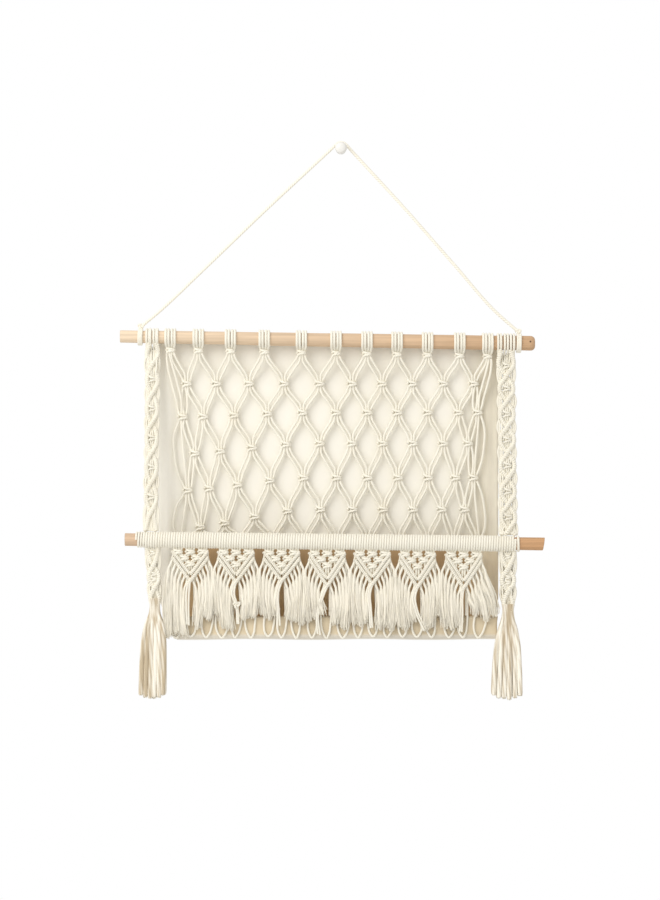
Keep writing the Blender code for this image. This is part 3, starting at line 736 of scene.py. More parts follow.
def make_stick(name, node, rod, dome, slant, material):
    """A stick whose right end is a dome or a slanted cut, by so many millimetres."""
    bm = bmesh.new()
    turn = Matrix.Rotation(math.radians(90), 4, "Y")
    start = Vector((rod["left"], rod["y"], rod_z(rod, rod["left"]))) * MM
    radius = (rod_r(rod, rod["left"]) - SOFT_EDGE) * MM
    bmesh.ops.create_circle(bm, cap_ends=True, segments=STICK_SIDES, radius=radius,
                            matrix=Matrix.Translation(start) @ turn)
    middle = start
    cap = bm.faces[:]
    for x, less in stick_stations(rod, dome):
        out = bmesh.ops.extrude_face_region(bm, geom=cap)
        ring = [item for item in out["geom"] if isinstance(item, bmesh.types.BMVert)]
        cap = [item for item in out["geom"] if isinstance(item, bmesh.types.BMFace)]
        wave = 0.14 * math.sin(x / 31.0) + 0.09 * math.sin(x / 11.0 + 1.0)
        goal = Vector((x, rod["y"] + wave, rod_z(rod, x) + wave * 0.6)) * MM
        size = (rod_r(rod, x) - less + 0.06 * math.sin(x / 17.0)) * MM / radius
        bmesh.ops.translate(bm, verts=ring, vec=goal - middle)
        bmesh.ops.scale(bm, verts=ring, vec=(1.0, size, size), space=Matrix.Translation(-goal))
        radius *= size
        middle = goal
    saw = slant / rod["r_right"] * 0.5
    for vert in bm.verts:
        near = held(share(rod["right"] - SAW_FROM, rod["right"] - SAW_TO, vert.co.x / MM))
        vert.co.x += saw * (vert.co.z - middle.z) * near
    bmesh.ops.recalc_face_normals(bm, faces=bm.faces)
    mesh = mesh_from(bm, name)
    make_piece(name, mesh, material, "wood", node)
    mesh.set_sharp_from_angle(angle=WOOD_EDGE)


make_stick("upper_stick", "upper_rod", UPPER, UPPER_DOME, 0.0, upper_wood)
make_stick("lower_stick", "lower_rod", LOWER, 0.0, LOWER_SLANT, lower_wood)

# %% [markdown]
# ## The wall peg
# The peg is a turned piece: a flange on the wall, a slim shank where the cord sits, and a round
# head that keeps it there. A turned shape is a profile spun round its axis, as on a lathe, and the
# profile begins and ends on the axis, so that the spin closes both ends.

# %% Spin the peg
PEG_PROFILE = ((0.0, 6.4), (2.0, 6.4), (2.6, 5.0), (15.5, 5.0), (16.4, 6.6), (19.0, 7.2),
               (21.6, 6.4), (23.2, 3.6))
PEG_SIDES = 48
PEG_EDGE = math.radians(50)
peg_finish, peg_shader, peg_place, _ = new_finish("white_lacquer", {
    "Base Color": (0.86, 0.85, 0.82, 1.0), "Coat Weight": 0.4, "Coat Roughness": 0.12})
peg_cloud = peg_place.noise(420.0)
(peg_cloud * 0.12 + 0.22).into(peg_shader, "Roughness")
raise_surface(peg_shader, peg_cloud, 0.00006)

bm = bmesh.new()
profile = [bm.verts.new((0.0, 0.0, 0.0))]
profile += [bm.verts.new((radius * MM, -depth * MM, 0.0)) for depth, radius in PEG_PROFILE]
profile.append(bm.verts.new((0.0, -PEG_PROFILE[-1][0] * MM, 0.0)))
edges = [bm.edges.new(pair) for pair in zip(profile, profile[1:])]
bmesh.ops.spin(bm, geom=profile + edges, cent=(0, 0, 0), axis=(0, 1, 0), angle=2 * math.pi,
               steps=PEG_SIDES, use_merge=True)
bmesh.ops.remove_doubles(bm, verts=bm.verts, dist=1e-6)
bmesh.ops.recalc_face_normals(bm, faces=bm.faces)
peg_mesh = mesh_from(bm, "peg")
make_piece("peg", peg_mesh, peg_finish, "peg", "wall_peg")
peg_mesh.set_sharp_from_angle(angle=PEG_EDGE)

# %% [markdown]
# ## The canvas
# One piece of cloth hangs behind the net, turns forward at its foot and ends in a hem behind the
# front cords. It is a flat grid bent over a path: down the back, round the turn, along the floor and
# up to the hem. A cloth simulation could drape it too, but the stick, the net and the knots hold it
# so closely that it has little left to fall into. Two soft creases near its sides and slow waves
# keep it from looking like a board.

# %% The canvas's path at one place across
CANVAS_Y = -3.8
CANVAS_LEFT = -222.0
CANVAS_RIGHT = 191.6
CANVAS_CREASES = ((-209.0, 6.5, 2.2), (178.0, 6.5, 2.0))
CANVAS_WAVE = 0.9
CANVAS_FLOOR = ((-3.8, -566.0), (-4.6, -580.0), (-9.5, -589.0), (-20.0, -593.6), (-34.0, -594.4),
                (-43.5, -593.8), (-46.4, -591.0), (-46.7, -587.0), (-46.8, -567.0))
CANVAS_CUT = {"from": -197.0, "to": -212.0, "rise": 13.0}
CANVAS_THICK = 1.6
CANVAS_TAPER = {"from": -548.0, "to": -574.0, "left": 11.5, "right": 3.6, "reach": 20.0}


def canvas_depth(x, z):
    """How far the cloth stands forward of its plane."""
    fall = held((-245.0 - z) / 60.0)
    forward = 0.0
    for middle, half, height in CANVAS_CREASES:
        forward += height * (0.5 + 0.5 * math.cos(math.pi * min(1.0, abs(x - middle) / half)))
    wave = 0.5 + 0.5 * math.sin(x / 34.0 + z / 90.0)
    return fall * (forward + CANVAS_WAVE * wave)


def canvas_line(x):
    """Places (y, z) from the top edge to the hem."""
    top = rod_z(UPPER, x) + 2.0
    start = CANVAS_FLOOR[0][1]
    deepest = CANVAS_FLOOR[4][1]
    cut = held(share(CANVAS_CUT["from"], CANVAS_CUT["to"], x))
    line = []
    for k in range(40):
        z = top + (start - top) * k / 40
        line.append(Vector((CANVAS_Y - canvas_depth(x, z), z)))
    for depth, z in CANVAS_FLOOR:
        fade = max(0.0, 1 - (z - deepest) / (start - deepest))
        lift = CANVAS_CUT["rise"] * cut * fade + 0.5 * math.sin(x / 23.0) * fade
        back = canvas_depth(x, z) * (1 - fade) if depth > CANVAS_FLOOR[4][0] else 0.0
        line.append(Vector((depth - back, z + lift)))
    return smooth(line, 2.0, 2)


# %% [markdown]
# ## The cloth as a grid
# A grid is bent over the paths, column by column, and drawn in a little at its foot. Its UV map is
# scaled to the size that the cloth was cut to, so the threads are the same size everywhere. A
# modifier gives the cloth its thickness, and the outer side its own plain finish.

# %% Lay the grid over the path
CANVAS_COLUMNS = 132
CANVAS_ROWS = 136

bm = bmesh.new()
bm.loops.layers.uv.new("UVMap")
bmesh.ops.create_grid(bm, x_segments=CANVAS_COLUMNS, y_segments=CANVAS_ROWS, size=0.5,
                      calc_uvs=True)
sections = {}
cloth_lengths = []
for vert in bm.verts:
    column = round((vert.co.x + 0.5) * CANVAS_COLUMNS)
    row = round((0.5 - vert.co.y) * CANVAS_ROWS)
    x = CANVAS_LEFT + (CANVAS_RIGHT - CANVAS_LEFT) * column / CANVAS_COLUMNS
    if column not in sections:
        line = canvas_line(x)
        sections[column] = line
        cloth_lengths.append(length_of(line))
    line = sections[column]
    at = (len(line) - 1) * row / CANVAS_ROWS
    low = min(int(at), len(line) - 2)
    spot = line[low].lerp(line[low + 1], at - low)
    left = CANVAS_TAPER["left"] * max(0.0, 1 - (x - CANVAS_LEFT) / CANVAS_TAPER["reach"])
    right = CANVAS_TAPER["right"] * max(0.0, 1 - (CANVAS_RIGHT - x) / CANVAS_TAPER["reach"])
    down = held(share(CANVAS_TAPER["from"], CANVAS_TAPER["to"], spot.y))
    vert.co = Vector((x + (left - right) * down, spot.x, spot.y)) * MM
cloth_width = CANVAS_RIGHT - CANVAS_LEFT
cloth_length = sum(cloth_lengths) / len(cloth_lengths)
uv_layer = bm.loops.layers.uv.active
for face in bm.faces:
    for loop in face.loops:
        loop[uv_layer].uv.x *= cloth_width * MM
        loop[uv_layer].uv.y *= cloth_length * MM
canvas_mesh = mesh_from(bm, "canvas")
canvas = make_piece("canvas_cloth", canvas_mesh, canvas_finish, "canvas", "canvas")
canvas_mesh.materials.append(canvas_outside)
thickness = canvas.modifiers.new("thickness", "SOLIDIFY")
thickness.thickness = CANVAS_THICK * MM
thickness.offset = 0.0
thickness.material_offset = 1
print("cloth:", round(cloth_width), "by", round(cloth_length), "mm")

# %% [markdown]
# ## The net: where its knots are
# Eleven groups of four cords hang from the stick. In each row the cords regroup: two from one knot
# and two from the next are tied together, so the knots of a row stand between those of the row
# above. The left of the net sags lower than the right, as the photograph shows, so a row is a height
# and a sag, and its places across are the middles between the knots above.

# %% The net's layout
HEADINGS_X = (-207, -173, -134, -93, -48, -6, 31.5, 68, 105, 144, 178)
HEADING_PITCH = 3.4
NET_Y = -11.5
NET_LEAN = 2.6
SAG_SHARE = 0.45
NET_ROWS = (
    {"z": -286.2, "sag": 0.0, "edges": None},
    {"z": -321.3, "sag": 5.4, "edges": (-192.4, 165.8)},
    {"z": -358.8, "sag": 13.0, "edges": None},
    {"z": -400.5, "sag": 15.7, "edges": (-186.3, 160.9)},
    {"z": -439.2, "sag": 24.0, "edges": None},
    {"z": -474.0, "sag": 0.0, "edges": (-192.0, 166.0)},
)


def net_layout():
    """The places of the net's groups of cords, row by row, as lists of (x, z)."""
    above = list(HEADINGS_X)
    rows = []
    span = (HEADINGS_X[0], HEADINGS_X[-1])
    for row in NET_ROWS:
        middles = []
        for a, b in zip(above, above[1:]):
            x = (a + b) / 2
            middles.append(x + NET_LEAN * (1 - share(*span, x)) ** 2)
        if row["edges"]:
            middles = [row["edges"][0], *middles, row["edges"][1]]
        places = []
        for x in middles:
            fade = min(1.0, max(0.0, share(*span, x)) / SAG_SHARE)
            places.append((x, row["z"] - row["sag"] * (0.5 + 0.5 * math.cos(math.pi * fade))))
        rows.append(places)
        above = middles
    return rows


net_rows = net_layout()
print("knots in the net:", sum(len(row) for row in net_rows[:-1]))

# %% [markdown]
# ## The square knot
# Two cords in the middle run straight through. The left cord crosses in front of them, turns round
# the right cord and comes back in front; the right cord does the same behind. Each cord's path
# through the knot is a short list of places, in cord pitches, cord radii and half heights.

# %% Paths through a square knot
KNOT_PATHS = (
    ((-1.5, 0.0, 1.0), (-1.35, -0.7, 0.72), (0.0, -2.0, 0.42), (1.35, -1.1, 0.26), (1.75, -0.1, 0.0),
     (1.35, -1.1, -0.2), (0.0, -2.0, -0.34), (-1.35, -0.8, -0.66), (-1.5, 0.0, -1.0)),
    ((-0.5, 0.0, 1.0), (-0.5, 0.0, 0.0), (-0.5, 0.0, -1.0)),
    ((0.5, 0.0, 1.0), (0.5, 0.0, 0.0), (0.5, 0.0, -1.0)),
    ((1.5, 0.0, 1.0), (1.3, 0.9, 0.66), (0.0, 2.0, 0.4), (-1.4, 1.2, 0.3), (-1.95, -0.6, 0.1),
     (-1.4, 1.2, -0.12), (0.0, 2.0, -0.36), (1.3, 0.9, -0.66), (1.5, 0.0, -1.0)),
)


def knot_spots(column, middle, pitch, radius, half):
    """Places that one of a square knot's four cords passes, from its top to its foot."""
    spots = []
    for across, back, up in KNOT_PATHS[column]:
        spots.append(middle + Vector((across * pitch, back * radius, up * half)))
    return spots


# %% [markdown]
# ## Loops on the stick
# Each cord is folded in half and hitched over the stick, so its two ends come down side by side and
# the fold makes a short bar behind. Seen from the front there are four round turns to a group.

# %% A cord's way round the stick
def loop_spots(x, x_bar, radius):
    """From the bar behind the stick, up the back, over the top and down the front."""
    spots = []
    for angle in (242, 212, 180, 145, 110, 75, 40, 5, -28, -55):
        place = x_bar + (x - x_bar) * (0.35 if angle == 242 else 1.0)
        reach = rod_r(UPPER, place) + GAP + radius
        turn = math.radians(angle)
        y = UPPER["y"] - reach * math.cos(turn)
        spots.append(Vector((place, y, rod_z(UPPER, place) + reach * math.sin(turn))))
    return spots


# %% [markdown]
# ## Forty-four strands
# A strand goes from the stick through each row's knots to the foot. Between two knots it bows out a
# little, because stiff cotton leaves a knot steeply. Two strands that share a loop on the stick are
# one folded cord, as on the real net, and the outermost ones bow outwards at the sides.

# %% The net's cords from the stick to the pocket
NET_CORD_R = 1.45
KNOT_PITCH = 3.0
KNOT_HALF = 4.4
HEADING_HALF = 3.2
HEADING_DROP = 4.8
PAIR_BOW = 1.5
BOW_WANDER = 0.9
DEPTH_WANDER = 0.4
FOOT_PITCH = 3.3
RUN_STEPS = ((0.2, 0.12, 0.75), (0.5, 0.5, 1.0), (0.8, 0.88, 0.75))
EDGE_BOW = {0: -6.5, 1: -1.0, 42: 0.8, 43: 4.0}
EDGE_BOW_BELOW = -300.0


def wander(size):
    """A chance amount between minus and plus the size."""
    return chance.uniform(-size, size)


def run_to(route, goal, column, cord):
    """Adds a bowed run to the goal: it leaves and arrives steeply."""
    away = (-1 if column % 2 == 0 else 1) * (PAIR_BOW + wander(BOW_WANDER))
    start = route[-1]
    if start.z < EDGE_BOW_BELOW:
        away += EDGE_BOW.get(cord, 0.0)
    for down, across, bow in RUN_STEPS:
        spot = start.lerp(goal, down)
        spot.x = start.x + (goal.x - start.x) * across + away * bow
        spot.y += wander(DEPTH_WANDER)
        route.append(spot)


def net_strand(cord):
    """One of the net's forty-four strands, from its loop on the stick to the bar at its foot."""
    group = cord // 4
    column = cord % 4
    x = HEADINGS_X[group]
    place = x + (column - 1.5) * HEADING_PITCH + (-0.3 if column < 2 else 0.3)
    bar = x + (-1.0 if column < 2 else 1.0) * HEADING_PITCH
    route = loop_spots(place, bar, NET_CORD_R)
    under = rod_z(UPPER, x) - rod_r(UPPER, x) - GAP - COLLAR_HIGH
    knot = Vector((x, UPPER["y"], under - HEADING_DROP))
    route += knot_spots(column, knot, KNOT_PITCH * 0.9, NET_CORD_R * 0.95, HEADING_HALF)
    for number, places in enumerate(net_rows):
        slot = cord if len(places) == len(HEADINGS_X) else cord - 2
        if not 0 <= slot < len(places) * 4:
            continue
        column = slot % 4
        x, z = places[slot // 4]
        if number == len(net_rows) - 1:
            goal = Vector((x + (column - 1.5) * FOOT_PITCH, NET_Y, z + 1.0))
            run_to(route, goal, column, cord)
            route.append(goal)
            break
        knot = Vector((x, NET_Y, z))
        spots = knot_spots(column, knot, KNOT_PITCH, NET_CORD_R, KNOT_HALF)
        run_to(route, spots[0], column, cord)
        route += spots
    return route


PLUMP_FROM = -254.0
PLUMP_OVER = 8.0
PLUMP = 0.13

folded = []
for cord in range(0, len(HEADINGS_X) * 4, 2):
    first = net_strand(cord)
    second = net_strand(cord + 1)
    folded.append(smooth([*reversed(first), *second], CORD_STEP, 2))
plump = [[1.0 + PLUMP * held((spot.z - PLUMP_FROM) / PLUMP_OVER) for spot in line]
         for line in folded]
cord_piece("net_cords", "net", folded, NET_CORD_R, 2, plump)
folded_length = sum(length_of(line) for line in folded) / len(folded)
print("folded cords:", len(folded), "of", round(folded_length), "mm")

# %% [markdown]
# ## The bar at the net's foot
# Behind the wound stick the net ends in a bar: each cord takes two turns round one cord that lies
# across. Each turn could be tied on its own, but they lie so close that one helix round a straight
# line shows the same ridges.

# %% Wind the bar
NET_BAR_X = range(-198, 173, 2)
NET_BAR_R = 1.15
NET_BAR_REACH = 1.35
NET_BAR_PITCH = 3.2

bar_line = [Vector((x, NET_Y, NET_ROWS[-1]["z"])) for x in NET_BAR_X]
bar_coil = wound(bar_line, NET_BAR_REACH, NET_BAR_PITCH)
cord_piece("net_bar", "net", [bar_line, bar_coil], NET_BAR_R, 1)

# %% [markdown]
# ## Cord wound round the lower stick
# About a hundred and fifty turns of cord lie side by side on the lower stick. The pull flattens the
# cord against the wood, so the tube is pressed towards the stick's axis after it is wound. The last
# turn at the right stands a little apart. One long helix is truer than rings, because the turns
# then lean as wound cord does, and a little slack in each keeps them from being all alike.

# %% Wind the lower stick
WRAP_LEFT = -248.0
WRAP_LAST = 211.2
WRAP_ALONE = 213.8
WRAP_PITCH = 3.06
WRAP_REACH = 8.95
WRAP_R = 1.5
WRAP_POINTS = 18
WRAP_SLACK = 0.16
WRAP_THIN = 0.86
WRAP_THIN_TO = -237.5
ALONE_START = 0.4
ALONE_LEAN = 1.2
PRESSED = 0.7


def around_lower(x, turn, reach):
    """A place round the lower stick, after so many turns from its front."""
    angle = 2 * math.pi * turn
    y = LOWER["y"] - reach * math.cos(angle)
    return Vector((x, y, rod_z(LOWER, x) + reach * math.sin(angle)))


def wrap_lines():
    """The long cord and the turn that stands apart, and how thick each is along its way."""
    turns = (WRAP_LAST - WRAP_R - WRAP_LEFT - WRAP_R) / WRAP_PITCH
    count = round(turns * WRAP_POINTS)
    line = []
    widths = []
    slack = [wander(WRAP_SLACK) for k in range(round(turns) + 3)]
    for k in range(count + 1):
        turn = k / WRAP_POINTS
        part = turn - int(turn)
        loose = slack[int(turn)] * (1 - part) + slack[int(turn) + 1] * part
        x = WRAP_LEFT + WRAP_R + turn * WRAP_PITCH
        line.append(around_lower(x, turn, WRAP_REACH + loose))
        widths.append(WRAP_THIN if x < WRAP_THIN_TO else 1.0)
    alone = []
    for k in range(WRAP_POINTS + 3):
        turn = k / WRAP_POINTS
        x = WRAP_ALONE - ALONE_LEAN * turn
        alone.append(around_lower(x, turn + ALONE_START, WRAP_REACH + 0.1))
    return [line, alone], [widths, [1.0] * len(alone)]


wrap_cords, wrap_widths = wrap_lines()
wrap_mesh = cord_mesh("wrap", wrap_cords, WRAP_R, 2, wrap_widths)
for vert in wrap_mesh.vertices:
    centre = Vector((vert.co.x, LOWER["y"] * MM, rod_z(LOWER, vert.co.x / MM) * MM))
    out = vert.co - centre
    reach = WRAP_REACH * MM
    vert.co = centre + out.normalized() * (reach + (out.length - reach) * PRESSED)
make_piece("wound_cord", wrap_mesh, cord_finish, "cord", "rod_wrap")
print("wound cord:", round(length_of(wrap_cords[0]) * MM, 1), "m")

# %% [markdown]
# ## The side braids
# Each side is a chain of diamonds. Two thick ropes, each a cord covered with half hitches, swing
# from side to side and cross; the one that falls to the left always lies on top. A small square
# knot fills each diamond, and thin cords run down beside the ropes and bulge between their corners.
# Straight cords behind it all close the diamonds, because the real braid lets no light through.

# %% Parts of a chain of diamonds
ROPE_REACH = 1.75
ROPE_PITCH = 2.5
ROPE_R = 1.35
FINE_R = 1.2
OVER = 2.3
UNDER = -1.2
CROSS_UP = 3.6
CROSS_OUT = 2.3
DIAMOND_SIDE = ((0.3, 0.83), (0.5, 1.0), (0.7, 0.83))
BACKING_CORDS = 7
BACKING_BACK = 3.6


def rope(route, reach=ROPE_REACH, pitch=ROPE_PITCH):
    """A core and the half hitches round it."""
    line = smooth(route, 2.0)
    return line, wound(line, reach, pitch, 8)


def chain_ropes(place, crossings, width, top, foot):
    """The two ropes' routes: place gives the braid's middle at a height."""
    ropes = []
    for first in (1, -1):
        route = list(top[first])
        for number, z in enumerate(crossings):
            falls_left = (number % 2 == 0) == (first == 1)
            lift = OVER if falls_left else UNDER
            heading = -1 if falls_left else 1
            route.append(beside(place(z + CROSS_UP), -heading * CROSS_OUT, -lift * 0.8))
            route.append(beside(place(z), 0.0, -lift))
            route.append(beside(place(z - CROSS_UP), heading * CROSS_OUT, -lift * 0.8))
            if number + 1 < len(crossings):
                gap = z - crossings[number + 1]
                for part, reach in DIAMOND_SIDE:
                    route.append(beside(place(z - gap * part), heading * width * reach))
        route += foot[heading]
        ropes.append(route)
    return ropes


def chain_knots(place, middles, top, foot, pitch, half):
    """Four fine cords that are tied at the middle of each diamond."""
    lines = []
    for column in range(4):
        route = [top[column]]
        for number, z in enumerate(middles):
            route += knot_spots(column, place(z), pitch, FINE_R, half)
            if number + 1 < len(middles):
                between = place((z + middles[number + 1]) / 2)
                route.append(beside(between, (column - 1.5) * 0.9, 2.4))
        route.append(foot[column])
        lines.append(smooth(route, 2.2, 2))
    return lines


def side_cord(place, crossings, side, reach, width, top, foot):
    """A cord beside the ropes, behind their corners and bulging at the crossings."""
    route = list(top)
    for number, z in enumerate(crossings):
        bulge = side * (reach + wander(0.5))
        route.append(beside(place(z), bulge, 0.4))
        if number + 1 < len(crossings):
            corner = (z + crossings[number + 1]) / 2
            route.append(beside(place(corner), side * (width - 0.6), 2.6))
    route.append(foot)
    return smooth(route, 2.6, 3)


def backing(place, high, low, reach):
    """Cords that run straight down behind the diamonds, so no daylight shows through them."""
    lines = []
    half = (BACKING_CORDS - 1) / 2
    for column in range(BACKING_CORDS):
        out = Vector((reach * (column - half) / half, BACKING_BACK + wander(0.3), 0.0))
        route = []
        for k in range(7):
            route.append(beside(place(high + (low - high) * k / 6) + out, wander(0.3)))
        lines.append(smooth(route, 4.0))
    return lines


# %% [markdown]
# ## The two braids
# Six cords are looped on the upper stick for each braid: two become the ropes, two the middle knots
# and two the edges. The braids differ in width and in the number of their diamonds, so one function
# makes both from a short list of measures. The turns on the stick are thicker, as folded cord is.

# %% Measures and making of the braids
BRAIDS = {
    "left": {"strands": (-235.6, -232.4, -231.0, -227.0, -223.8, -222.6), "foot": -229.0,
             "half": 10.4, "first": -263.0, "diamond": 35.6, "count": 6},
    "right": {"strands": (190.6, 194.0, 198.6, 202.2, 206.0, 209.8), "foot": 201.5, "half": 12.4,
              "first": -276.6, "diamond": 31.1, "count": 7},
}


ROPE_INSET = 4.0
EDGE_INSET = 1.3
HEAD_PLUMP = 0.22


def braid_place(braid):
    """The middle of a braid at a height, on the slope between the two sticks."""
    head = sum(braid["strands"]) / 6
    high = rod_z(UPPER, head) - rod_r(UPPER, head) - 6.0
    low = rod_z(LOWER, braid["foot"]) + WRAP_REACH + 1.5

    def place(z):
        along = share(high, low, z)
        x = head + (braid["foot"] - head) * along
        return Vector((x, UPPER["y"] + (LOWER["y"] - UPPER["y"]) * along, z))

    return place, high, low


def make_braid(side, braid):
    """The ropes and the cords of one braid, as two pieces."""
    place, high, low = braid_place(braid)
    width = braid["half"] - ROPE_INSET
    outer = braid["half"] - EDGE_INSET
    crossings = [braid["first"] - braid["diamond"] * k for k in range(braid["count"])]
    heads = [loop_spots(x, x + 0.8, FINE_R + 0.2) for x in braid["strands"]]
    corner = braid["first"] + min(braid["diamond"] / 2, 11.0)
    swing = {turn: [*heads[4 if turn == 1 else 1], beside(place(corner), turn * width)]
             for turn in (1, -1)}
    part = max(2.0, (crossings[-1] - low) / 2)
    ends = {turn: [beside(place(low + part), turn * width * 0.7), beside(place(low), turn * width)]
            for turn in (1, -1)}
    ropes = []
    lines = []
    for route in chain_ropes(place, crossings, width, swing, ends):
        hidden = len(loop_spots(0.0, 0.0, 1.0))
        lines.append(smooth(route[:hidden + 1], 2.4))
        ropes += rope(route[hidden - 1:])
    middles = [z - braid["diamond"] / 2 for z in crossings[:-1]]
    if braid["first"] < -270.0:
        middles.insert(0, braid["first"] + 12.0)
    tops = [beside(place(high), (column - 1.5) * 3.0, 1.0, 2.0) for column in range(4)]
    feet = [beside(place(low), (column - 1.5) * 2.0, 1.0) for column in range(4)]
    lines += chain_knots(place, middles, tops, feet, 2.5, 4.5)
    lines += backing(place, high, low, outer - 2.0)
    for number in (2, 3):
        start = [*heads[number], beside(place(high), (number - 2.5) * 3.4)]
        lines.append(smooth([*start, beside(place(high - 4.0), (number - 2.5) * 2.0, 0.5)], 2.4))
    for turn, number in ((-1, 0), (1, 5)):
        foot = beside(place(low), turn * (outer - 1.0), 0.5)
        top = [*heads[number], beside(place(high - 6.0), turn * (outer - 1.5))]
        lines.append(side_cord(place, crossings, turn, outer, width, top, foot))
        for inward in (2.5, 5.0):
            top = [beside(place(high - 2.0), turn * (outer - 1.5 - inward), 1.0)]
            lines.append(side_cord(place, crossings, turn, outer - inward, width, top, foot))
    node = "braid_" + side
    cord_piece("side_ropes_" + side, node, ropes, ROPE_R)
    plump = [[1.0 + HEAD_PLUMP * held((spot.z - high) / 6.0) for spot in line] for line in lines]
    cord_piece("side_cords_" + side, node, lines, FINE_R, 2, plump)


for side, braid in BRAIDS.items():
    make_braid(side, braid)

# %% [markdown]
# ## The tails
# Below the wound stick each chain goes on for two more diamonds. Its cords are then gathered into a
# neck and fall as a tassel of whole cords, thick and soft at their cut ends. A tail hangs free, so it
# swings a little off the braid's line, and one function gives its middle at every height.

# %% Two diamonds, a neck and a tassel
TAILS = {
    "left": {"x": -229.0, "half": 9.4, "neck": -548.0, "foot": -665.0, "wide": 33.0, "first": -505.5,
             "swell": (0.66, 0.85, 0.97), "swing": (2.0, 5.0, 1.6)},
    "right": {"x": 202.0, "half": 10.6, "neck": -555.0, "foot": -666.0, "wide": 38.0, "first": -509.4,
              "swell": (0.54, 0.72, 0.9), "swing": (-1.5, -0.8, -2.8)},
}
TAIL_Y = -50.5
TAIL_TOP = -486.0
TAIL_DIAMOND = 27.6
NECK_LENGTH = 20.0
TASSEL_COLUMNS = 6
TASSEL_DEPTHS = (-8.4, -2.8, 2.8, 8.4)
TASSEL_R = 3.05
TASSEL_SPLAY = 4.5
TASSEL_NECK = 0.62
TASSEL_FULL = 0.38
TUFT_HAIRS = 12
TUFT_REACH = 1.5
TUFT_R = 0.32
TUFT_SPREAD = 2.3
TAIL_INSET = 3.2


def tail_middle(tail, z):
    """The middle of a tail at a height: it swings a little to the side, most at the neck."""
    top, neck, foot = tail["swing"]
    if z > tail["neck"]:
        swing = top + (neck - top) * held(share(TAIL_TOP, tail["neck"], z))
    else:
        swing = neck + (foot - neck) * held(share(tail["neck"], tail["foot"], z))
    return Vector((tail["x"] + swing, TAIL_Y, z))


def tail_cords(tail):
    """The chain below the stick and the neck."""
    def place(z):
        return tail_middle(tail, z)

    width = tail["half"] - TAIL_INSET
    high = rod_z(LOWER, tail["x"]) - WRAP_REACH - 0.8
    crossings = [tail["first"], tail["first"] - TAIL_DIAMOND]
    neck = tail["neck"]
    top = {turn: [beside(place(high + 2.0), turn * (width + 0.5)),
                  beside(place(high - 3.0), turn * (width + 0.3)),
                  beside(place(high - 9.0), turn * width * 0.8)] for turn in (1, -1)}
    foot = {turn: [beside(place(neck + 4.0), turn * 5.4, -0.6),
                   beside(place(neck - 4.0), turn * 3.6, -1.4),
                   beside(place(neck - NECK_LENGTH), turn * 3.0, -1.4)] for turn in (1, -1)}
    lines = []
    ropes = []
    for route in chain_ropes(place, crossings, width, top, foot):
        ropes += rope(route)
    berry = tail["first"] - TAIL_DIAMOND / 2
    tops = [beside(place(high + 1.0), (column - 1.5) * 3.0, 0.5) for column in range(4)]
    feet = [beside(place(neck), (column - 1.5) * 2.0, 2.0) for column in range(4)]
    middles = (high - 6.0, berry + 3.4, berry - 3.0)
    lines += chain_knots(place, middles, tops, feet, 1.9, 2.9)
    lines += backing(place, high, neck + 8.0, tail["half"] - 3.0)
    for turn in (-1, 1):
        start = [beside(place(high + 1.0), turn * (tail["half"] - 1.0), 1.0)]
        end = beside(place(neck), turn * 5.5, 0.5)
        for inward in (1.2, 3.7):
            lines.append(side_cord(place, crossings, turn, tail["half"] - inward, width, start, end))
    return ropes, lines


def tassel_lines(tail):
    """The tassel's whole cords, close together in the neck and spread at the foot."""
    lines = []
    widths = []
    top = tail["neck"] + 3.0
    stages = ((0.0, 0.34), (0.08, 0.29), (0.17, 0.36), *zip((0.27, 0.4, 0.66), tail["swell"]),
              (1.0, 1.0))
    half = (TASSEL_COLUMNS - 1) / 2
    for depth in TASSEL_DEPTHS:
        for number in range(TASSEL_COLUMNS):
            share_out = (number - half) / half
            across = share_out * (tail["wide"] / 2 - TASSEL_R)
            foot = tail["foot"] + 1.0 + TASSEL_SPLAY * share_out ** 2 + wander(1.2)
            route = []
            for down, spread in stages:
                sway = wander(0.5) * down
                z = top + (foot - top) * down
                out = across * spread + sway
                route.append(beside(tail_middle(tail, z), out, depth * spread * 0.95))
            line = smooth(route, 4.0)
            width = []
            for k in range(len(line)):
                down = k / (len(line) - 1)
                swell = TASSEL_NECK + (1.0 - TASSEL_NECK) * held(down / TASSEL_FULL)
                width.append(swell * (1.0 if down < 0.985 else 0.86))
            lines.append(line)
            widths.append(width)
    return lines, widths


def tufts(ends):
    """Short loose fibres at the cut ends of cords."""
    hairs = []
    for end in ends:
        for number in range(TUFT_HAIRS):
            angle = wander(math.pi)
            out = Vector((math.cos(angle), math.sin(angle), 0.0)) * TUFT_SPREAD * chance.random() ** 0.5
            start = beside(end + out, 0.0, 0.0, 3.0)
            drop = Vector((wander(0.5), wander(0.5), chance.uniform(0.3, 1.0) * TUFT_REACH))
            tip = end + out - drop
            hairs.append([start, beside((start + tip) / 2, wander(0.3), wander(0.3)), tip])
    return hairs


def make_tail(side, tail):
    """The tassel with its loose ends, and the chain above it, as four pieces."""
    node = "tassel_" + side
    lines, widths = tassel_lines(tail)
    cord_piece("tassel_cords_" + side, node, lines, TASSEL_R, 3, widths, thick_cord_finish)
    loose = tufts([line[-1] for line in lines])
    cord_piece("tassel_tufts_" + side, node, loose, TUFT_R, 1, None, fringe_finish)
    ropes, chain = tail_cords(tail)
    cord_piece("tail_ropes_" + side, node, ropes, ROPE_R)
    cord_piece("tail_cords_" + side, node, chain, FINE_R)


# The tassel's deep tone, drawn out in long streaks down its cords, is painted shade between them.
TASSEL_LIGHT = (0.98, 0.935, 0.83)
TASSEL_SHADE = (0.57, 0.47, 0.325)
TASSEL_SHADE_STREAKS = (170.0, 170.0, 7.0)
TASSEL_LAY = 0.09
TASSEL_RIDGE = 0.0006
TASSEL_DEPTH = 4.2
TASSEL_LEVEL = 0.04

